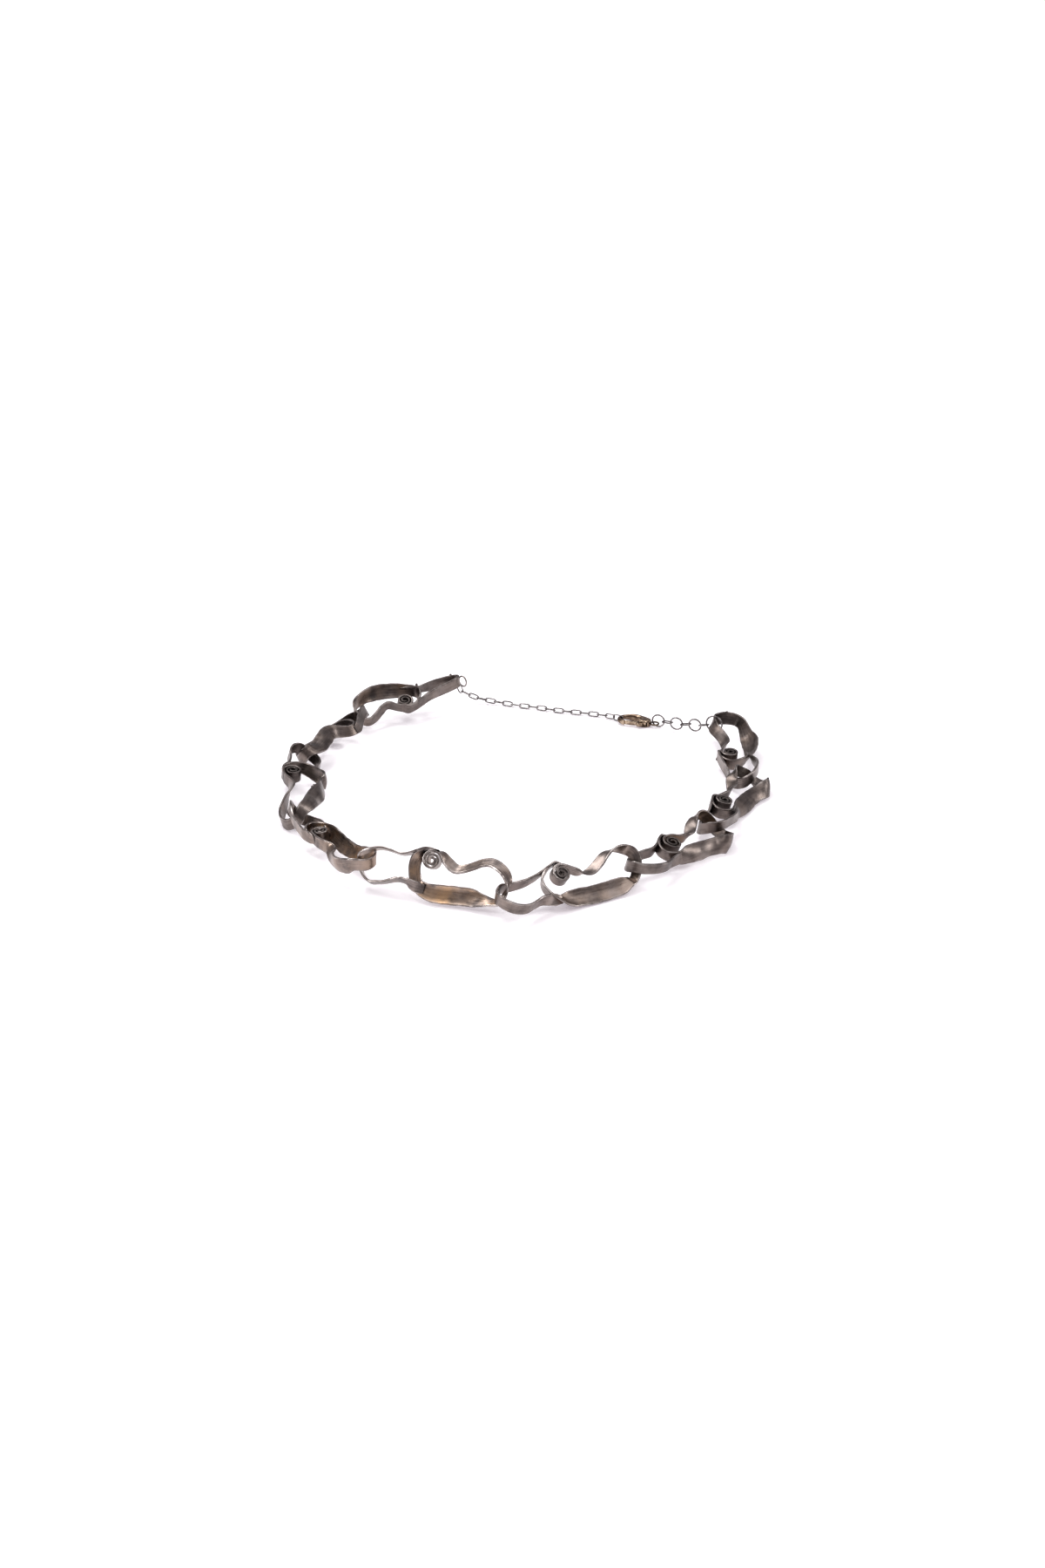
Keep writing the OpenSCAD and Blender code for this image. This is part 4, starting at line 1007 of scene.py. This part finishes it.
@dataclass
class FineChain:
    """The cable chain from the end ring to the clasp, of small links turned in turn."""

    material: Material
    route: Sequence[Triple] = (
        (-18.9, 68.6, 6.8), (-18.8, 68.3, 5.6), (-17.8, 68.4, 4.4), (-15.8, 68.9, 3.1),
        (-13.8, 69.3, 2.1), (-11, 69.3, 1.35), (-5.6, 67.9, 0.9), (-1, 66.3, 0.85), (3.7, 65, 0.85),
        (8.6, 63.2, 0.85), (13.4, 61.9, 0.85), (18.3, 60.7, 0.85), (22.4, 59.4, 0.9), (25.3, 57.7, 1.1),
        (27.75, 56.5, 1.1),
    )
    pitch: float = 2.55
    half_length: float = 1.48
    half_width: float = 0.61
    # Half width of the last link, which holds the hook
    hooked_half_width: float = 0.86
    wire: float = 0.37
    # Turn of the links about the route, first to one side and then to the other, in degrees
    turn: float = 45.0
    lean: float = 20.0
    unevenness: float = 8.0
    squareness: float = 0.6
    route_steps: int = 24
    link_points: int = 28
    wire_sides: int = 8
    seed: int = 40

    def build(self) -> None:
        """Build the links as one piece that stands for the chain's tube.

        A link's middle line is (a cos^q t, b sin^q t), a rounded rectangle, in a plane that holds
        the route's run and is turned about it by the lean plus or minus the turn. The last one
        stands upright and is wider, so that the clasp's hook passes through it.
        """
        line = smooth(np.array(self.route, float), self.route_steps)
        s = travel(line)
        count = round(s[-1] / self.pitch)
        stops = (np.arange(count) + 0.5) * s[-1] / count
        behind, middles, ahead = (
            np.stack([np.interp(stops + step, s, line[:, k]) for k in range(3)], -1)
            for step in (-self.half_width, 0.0, self.half_width)
        )
        runs = unit(ahead - behind)
        rng = np.random.default_rng(self.seed)
        cosine, sine = signed_power(circle(1.0, self.link_points).T, self.squareness)[..., None]
        skin = Skin()
        for k in range(count):
            level = unit(np.cross(UP, runs[k]))
            rise = np.cross(runs[k], level)
            uneven = rng.uniform(-self.unevenness, self.unevenness)
            angle = math.radians(self.lean + self.turn * (-1) ** k + uneven)
            half_width = self.half_width
            if k == count - 1:
                angle = math.pi / 2
                half_width = self.hooked_half_width
            width = level * math.cos(angle) + rise * math.sin(angle)
            path = middles[k] + self.half_length * cosine * runs[k] + half_width * sine * width
            skin.wire(path, self.wire, self.wire_sides, {})
        stand_for(skin.piece("fine_chain", self.material), "chain")


@dataclass
class Extender:
    """Jump rings and the oval connectors between them."""

    material: Material
    # x, y, z, turn of the plane and middle-line radius of each ring
    rings: Sequence[tuple[float, float, float, float, float]] = (
        (37.9, 52.6, 2.2, -20, 1.75),
        (42.9, 49.7, 2.6, -20, 1.75),
        (48, 47.3, 3.2, -20, 1.75),
        (53.2, 43.2, 5.4, -22, 2.3),
    )
    # Where each oval holds its two rings, as angles on their middle lines
    oval_angles: Sequence[Pair] = ((0, 180), (0, 180), (8, 198))
    ring_wire: float = 0.45
    oval_wire: float = 0.4
    oval_half_width: float = 0.65
    oval_play: float = 0.1
    # Gap at the top of a ring, in radians
    cut: float = 0.035
    # Points along a ring or along one end of an oval, and round the wire
    ring_points: tuple[int, int] = (90, 14)
    bend_points: tuple[int, int] = (16, 12)

    def build(self) -> None:
        """Build each ring and each oval as a piece of its own."""
        count, sides = self.ring_points
        for number, (x, y, z, yaw, radius) in enumerate(self.rings, 1):
            skin = Skin()
            path = upright_circle((x, y, z), yaw, radius, count, self.cut)
            skin.add(tube(path, self.ring_wire / 2, sides), {})
            stand_for(skin.piece(f"jump_ring_{number}", self.material), f"ring_{number}")
        for number, (first, second) in enumerate(self.oval_angles, 1):
            start = self._rim(self.rings[number - 1], first)
            end = self._rim(self.rings[number], second)
            skin = Skin()
            skin.wire(self._oval(start, end), self.oval_wire, self.bend_points[1], {})
            stand_for(skin.piece(f"connector_{number}", self.material), f"oval_{number}")

    def _rim(self, ring: tuple[float, ...], angle: float) -> Array:
        """Point of a ring's middle line at an angle in degrees."""
        x, y, z, yaw, radius = ring
        turn, yaw = math.radians(angle), math.radians(yaw)
        out = np.array([math.cos(turn) * math.cos(yaw), math.cos(turn) * math.sin(yaw), math.sin(turn)])
        return np.array([x, y, z]) + radius * out

    def _oval(self, start: Array, end: Array) -> Array:
        """Middle line of a connector: two straight sides and two half circles, lying flat.

        Args:
            start: The first ring's middle line where it is held.
            end: The second ring's.

        Returns:
            Points of the closed line.
        """
        run = unit(end - start)
        side = unit(np.cross(UP, run))
        span = np.linalg.norm(end - start) + self.ring_wire + self.oval_wire + 2 * self.oval_play
        straight = (span - 2 * self.oval_half_width) / 2
        angle = np.linspace(-math.pi / 2, math.pi / 2, self.bend_points[0])
        bend = self.oval_half_width * np.stack([np.cos(angle), np.sin(angle)], -1) + [straight, 0.0]
        flat = np.concatenate([bend, -bend])
        return (start + end) / 2 + flat[:, :1] * run + flat[:, 1:] * side


@dataclass
class LobsterClasp:
    """The clasp, lying flat: cast body with hook and eye, and the sprung lever."""

    material: Material
    at: Triple = (32.1, 54.6, 1.1)
    yaw: float = -21.0
    thickness: float = 2.2
    hook_thickness: float = 1.3
    rounding: float = 0.6
    # Share of the largest disc inside that a rounded edge may take
    edge_share: float = 0.85
    edge_steps: int = 6
    # Where the casting starts to thicken from the hook, and over what length
    thicker_from: float = -5.0
    thicker_over: float = 4.0
    outline: Sequence[Pair] = (
        (-3.4, -1.6), (-4, -1.1), (-4.7, -0.1), (-4.5, 0.9), (-3.4, 1.5), (-1.5, 1.6), (0.3, 1.1), (1, 0.2),
        (0.7, -0.8), (0.8, -1.4), (1.8, -1.6), (3, -1.3), (3.8, -0.5), (3.9, 0.4), (3.6, 1.1), (2.6, 1.7),
        (1, 2.3), (-1.5, 2.75), (-3.8, 2.6), (-5.4, 1.7), (-6, 0.2), (-5.7, -1.2), (-4.7, -2.1),
        (-3.7, -2.4), (-3.3, -2.2),
    )
    slot_low: Pair = (-0.2, -2.5)
    slot_high: Pair = (3.25, 0.8)
    slot_width: float = 1.2
    # The pin stands a little proud of the cheeks
    pin_at: Pair = (2.2, -0.3)
    pin_radius: float = 0.4
    pin_proud: float = 0.02
    pin_rounding: float = 0.12
    knuckle_radius: float = 0.9
    knuckle_rounding: float = 0.15
    eye_at: Pair = (5.0, 0.3)
    eye_radius: float = 1.14
    eye_wire: float = 0.52
    # Points along the eye, and round its wire
    eye_points: tuple[int, int] = (40, 12)
    eye_dark: float = 0.6
    arm: Sequence[Pair] = (
        (-3.1, -2.1), (-3.15, -1.5), (-1.6, -1.2), (0.3, -0.9), (0.35, -1.7), (-1.2, -2.1),
    )
    arm_thickness: float = 1.15
    tongue: Sequence[Pair] = (
        (-0.2, -1), (1.4, 0.1), (2.2, -0.3), (2.2, -1.1), (1.9, -2), (1.5, -2.5), (0.6, -2.5), (0.2, -1.8),
    )
    tongue_thickness: float = 1.0
    lever_rounding: float = 0.2
    # Points between two corners of the body's and of the lever's outlines, and in a disc
    body_steps: int = 5
    lever_steps: int = 6
    disc_points: int = 32

    def build(self) -> None:
        """Build the body, with the lever's slot cut out of it, and the lever."""
        body = self._body()
        self._cut_slot(body)
        stand_for(body, "clasp_body")
        stand_for(self._lever(), "clasp_lever", Body.LEVER)

    def _world(self, local: Array) -> Array:
        """Points of the clasp's own frame in the necklace's frame."""
        turn = math.radians(self.yaw)
        x = local[..., 0] * math.cos(turn) - local[..., 1] * math.sin(turn)
        y = local[..., 0] * math.sin(turn) + local[..., 1] * math.cos(turn)
        return np.stack([x, y, local[..., 2]], -1) + np.array(self.at)

    def _plate(self, skin: Skin, outline: Array, half: Union[Array, float], rounding: float) -> None:
        """Add a flat casting with rounded edges.

        From the bottom up, the outline is drawn in by r (1 - sin a) at height -(half - r) - r cos a,
        for a from 0 to 90 degrees, and the same on top. r is the rounding, or less where the
        casting is narrow: most of the largest disc inside that touches the outline there, whose
        radius is the least d^2 / (2 d.n) over the other points, n pointing inwards.

        Args:
            skin: Skin to add it to.
            outline: Closed outline without its repeated last point.
            half: Half thickness, one value or one a point.
            rounding: Radius of the edges.
        """
        following = np.roll(outline, -1, axis=0)
        run = unit(following - np.roll(outline, 1, axis=0))
        inward = np.stack([-run[:, 1], run[:, 0]], -1)
        if (outline[:, 0] * following[:, 1] - following[:, 0] * outline[:, 1]).sum() < 0:
            inward = -inward
        to = outline[None] - outline[:, None]
        disc = (to**2).sum(-1) / (2 * np.maximum((to * inward[:, None]).sum(-1), TINY))
        np.fill_diagonal(disc, np.inf)
        room = disc.min(1)
        room = np.minimum(room, (np.roll(room, 1) + np.roll(room, -1)) / 2)
        r = np.minimum(rounding, self.edge_share * room)
        rings = []
        quarter = np.linspace(0, math.pi / 2, self.edge_steps)
        for sign, angles in ((-1, quarter), (1, quarter[::-1])):
            for a in angles:
                drawn = outline + inward * (r * (1 - math.sin(a)))[:, None]
                height = sign * (half - r + r * math.cos(a))
                rings.append(np.concatenate([drawn, height[:, None]], 1))
        skin.add(self._world(np.stack(rings)), {})

    def _body(self) -> Thing:
        """Hook, back and cheeks, thinner at the hook, with the eye."""
        outline = closed_outline(self.outline, self.body_steps)
        share = ease((outline[:, 0] - self.thicker_from) / self.thicker_over)
        half = (self.hook_thickness + (self.thickness - self.hook_thickness) * share) / 2
        skin = Skin()
        self._plate(skin, outline, half, self.rounding)
        count, sides = self.eye_points
        eye = np.pad(circle(self.eye_radius, count) + np.array(self.eye_at), ((0, 0), (0, 1)))
        skin.wire(self._world(eye), self.eye_wire, sides, {"dark": self.eye_dark})
        return skin.piece("clasp_casting", self.material)

    def _cut_slot(self, body: Thing) -> None:
        """Cut the lever's slot between the cheeks."""
        x0, y0 = self.slot_low
        x1, y1 = self.slot_high
        square = np.array([(x0, y0), (x1, y0), (x1, y1), (x0, y1)])
        half = self.slot_width / 2
        levels = [np.pad(square, ((0, 0), (0, 1)), constant_values=height) for height in (-half, half)]
        cutter_skin = Skin()
        cutter_skin.add(self._world(np.stack(levels)), {})
        cutter = cutter_skin.piece("slot_cutter", self.material)
        cut = body.modifiers.new("slot", "BOOLEAN")
        cut.object = cutter
        cut.operation = "DIFFERENCE"
        cut.solver = "EXACT"
        graph = bpy.context.evaluated_depsgraph_get()
        carved = bpy.data.meshes.new_from_object(body.evaluated_get(graph))
        body.modifiers.clear()
        body.data = carved
        bpy.data.objects.remove(cutter)

    def _lever(self) -> Thing:
        """Arm, tongue with thumb nub, knuckle and pin."""
        skin = Skin()
        for corners, thickness in ((self.arm, self.arm_thickness), (self.tongue, self.tongue_thickness)):
            self._plate(skin, closed_outline(corners, self.lever_steps), thickness / 2, self.lever_rounding)
        for radius, half, rounding in (
            (self.knuckle_radius, self.tongue_thickness / 2, self.knuckle_rounding),
            (self.pin_radius, self.thickness / 2 + self.pin_proud, self.pin_rounding),
        ):
            self._plate(skin, circle(radius, self.disc_points) + np.array(self.pin_at), half, rounding)
        return skin.piece("clasp_lever_arm", self.material)


@dataclass(frozen=True)
class Softbox:
    """One soft studio light: where it stands, what it points at, its sides and power."""

    name: str
    at: Triple
    aim: Triple
    sides: Pair
    watts: float

    def build(self) -> None:
        """Add the area light."""
        data = bpy.data.lights.new(self.name, "AREA")
        data.shape = "RECTANGLE"
        data.size, data.size_y = self.sides
        data.energy = self.watts
        look_at(add_object(self.name, data), self.at, self.aim)


def look_at(thing: Thing, at: Sequence[float], aim: Sequence[float]) -> None:
    """Put a lamp or camera at a point, its view along -Z at the aim and its +Y up."""
    direction = Vector(aim) - Vector(at)
    thing.location = at
    thing.rotation_euler = direction.to_track_quat("-Z", "Y").to_euler()


@dataclass
class Studio:
    """White floor, soft light and the camera at the photograph's angle."""

    aim: Triple = (-0.0007, 0.013, 0.00083)
    elevation: float = 25.0
    distance: float = 0.9
    lens: float = 75.6
    view_depth: float = 100.0
    floor_half: float = 30.0
    floor_white: float = 0.88
    floor_roughness: float = 0.7
    ambient: Triple = (1.0, 0.94, 0.98)
    ambient_strength: float = 0.4
    # The floor's own violet glow paints its shadows lighter and violet; far away it keeps the floor evenly
    # white
    floor_glow: Triple = (1.0, 0.88, 1.0)
    floor_glow_strength: float = 0.26
    # Glow of the floor past the second distance, blended in from the first
    far_glow: Triple = (2.0, 2.0, 2.0)
    near_and_far: Pair = (0.3, 0.9)
    boxes: Sequence[Softbox] = (
        Softbox("overhead", (0.1, 0.1, 1.1), (0.0, 0.02, 0.0), (1.6, 1.4), 7.0),
        Softbox("key", (-0.35, 0.35, 0.95), (0.0, 0.0, 0.0), (0.45, 0.45), 4.4),
        Softbox("left", (-1.0, -0.3, 0.6), (0.0, 0.0, 0.0), (0.3, 0.5), 4.0),
        Softbox("right", (1.0, 0.1, 0.5), (0.0, 0.0, 0.0), (0.25, 0.5), 3.0),
        Softbox("front", (0.3, -0.7, 0.9), (0.0, 0.0, 0.0), (0.2, 0.2), 1.6),
    )

    def build(self) -> None:
        """Set up floor, lights, sky and camera."""
        self._floor()
        for box in self.boxes:
            box.build()
        world = bpy.data.worlds.new("studio")
        world.use_nodes = True
        sky = world.node_tree.nodes["Background"]
        sky.inputs["Color"].default_value = rgb(*self.ambient)
        sky.inputs["Strength"].default_value = self.ambient_strength
        scene = bpy.context.scene
        scene.world = world
        scene.view_settings.view_transform = "Standard"
        data = bpy.data.cameras.new("camera")
        data.lens = self.lens
        data.clip_end = self.view_depth
        camera = add_object("camera", data)
        tilt = math.radians(self.elevation)
        x, y, z = self.aim
        at = (x, y - self.distance * math.cos(tilt), z + self.distance * math.sin(tilt))
        look_at(camera, at, self.aim)
        scene.camera = camera

    def _floor(self) -> None:
        """A plain white plane just under the necklace, which glows more far away."""
        h = self.floor_half
        mesh = bpy.data.meshes.new("floor")
        mesh.from_pydata([(-h, -h, 0), (h, -h, 0), (h, h, 0), (-h, h, 0)], [], [(0, 1, 2, 3)])
        g = Graph("white floor")
        away = g.node("ShaderNodeVectorMath", {"operation": "LENGTH"}, {0: g.place()}, "Value")
        glow = g.blend(rgb(*self.floor_glow), rgb(*self.far_glow), g.ramp(away, *self.near_and_far))
        white = rgb(self.floor_white, self.floor_white, self.floor_white)
        light = {"Emission_Color": glow, "Emission_Strength": self.floor_glow_strength}
        mesh.materials.append(g.dress(Base_Color=white, Roughness=self.floor_roughness, **light))
        add_object("floor", mesh)


# A link starts with its middle, yaw, pitch, rolls of the sheet, radius of the roll and strips
# The second darkness value of each link is its painted shade, deeper on the links further back; the roll's is
# painted shade in the coil with patina
LINKS = (
    LinkShape(
        (-36, 50.5, 5.2), 214, -4, (10, -20, -40), 2.3, BAND_1, TAIL_1,
        warmth=(0.35, 0.15, 0.1, 0.1), darkening=0.42, roll_shade_and_patina=0.95,
        burrs=((-6.6, 5.4, 2, 0.5), (-6.6, 5.2, 2.7, 0.38), (-18.6, 5.2, 1.7, 0.34)),
    ),
    LinkShape(
        (-53, 29.3, 3.7), 243, 0, (215, 208, 210), 2.2, BAND_2, TAIL_2,
        warmth=(0.15, 0.15, 0.1, 0.1), darkening=0.45,
    ),
    LinkShape(
        (-59.5, -1.3, 3.6), 271, 0, (158, 180, 210), 2.5, BAND_3, TAIL_3,
        warmth=(0.2, 0.1, 0.1, 0.1), darkening=0.42, burrs=((10.2, 1.5, -2, 0.36), (9, 1.2, -2, 0.28)),
    ),
    LinkShape(
        (-50.4, -37.9, 4.7), 303, 5.5, (150, 185, 195), 2.3, BAND_4, TAIL_4,
        warmth=(1, 0.3, 0.35, 0.2), darkening=0.1, roll_shade_and_patina=0.8,
        burrs=((-1.8, 6.7, -1.7, 0.45), (-0.6, 7.4, -1.6, 0.35), (-2.9, 6, -1.6, 0.35)),
    ),
    LinkShape(
        (-22, -64, 6.3), -16, 0, (50, 58, 52), 2.4, BAND_5, TAIL_5,
        warmth=(1, 0.2, 0.15, 0.2), darkening=0, roll_shade_and_patina=0.3,
    ),
    LinkShape(
        (11.5, -64.4, 5), 25, -3, (8, 40, 40), 2.5, BAND_6, TAIL_6,
        warmth=(0.25, 0.1, 0.1, 0.1), darkening=0.15, roll_shade_and_patina=0.75, spiral_tilt=4,
    ),
    LinkShape(
        (40, -42, 4.1), 49, -2.7, (16, 20, 38), 2.6, BAND_7, TAIL_7,
        warmth=(0.85, 0.1, 0.1, 0.1), darkening=0.48, roll_shade_and_patina=0.95,
        burrs=((0, -1.2, -0.9, 0.4), (1.2, -0.8, -0.6, 0.3)),
    ),
    LinkShape(
        (55, -14.2, 3.3), 62, 0, (10, 16, 22), 2.3, BAND_8, TAIL_8,
        warmth=(0.15, 0.15, 0.1, 0.1), darkening=0.52, roll_shade_and_patina=0.95,
    ),
    LinkShape(
        (58, 18, 3.2), 88, 4, (0, 4, 6), 2.3, BAND_9, TAIL_9,
        warmth=(0.2, 0.15, 0.1, 0.1), darkening=0.42, roll_shade_and_patina=0.95, burrs=((19.9, 6.3, 1.9, 0.34),),
    ),
)


def main() -> None:
    """Build the necklace, then the studio round it."""
    logging.basicConfig(level=logging.INFO, format="%(message)s")
    wire = DarkWire().material()
    ForgedLinks(LINKS, ForgedSilver().material()).build()
    FineChain(wire).build()
    Extender(wire).build()
    LobsterClasp(CastClasp().material()).build()
    Studio().build()


if __name__ == "__main__":
    main()
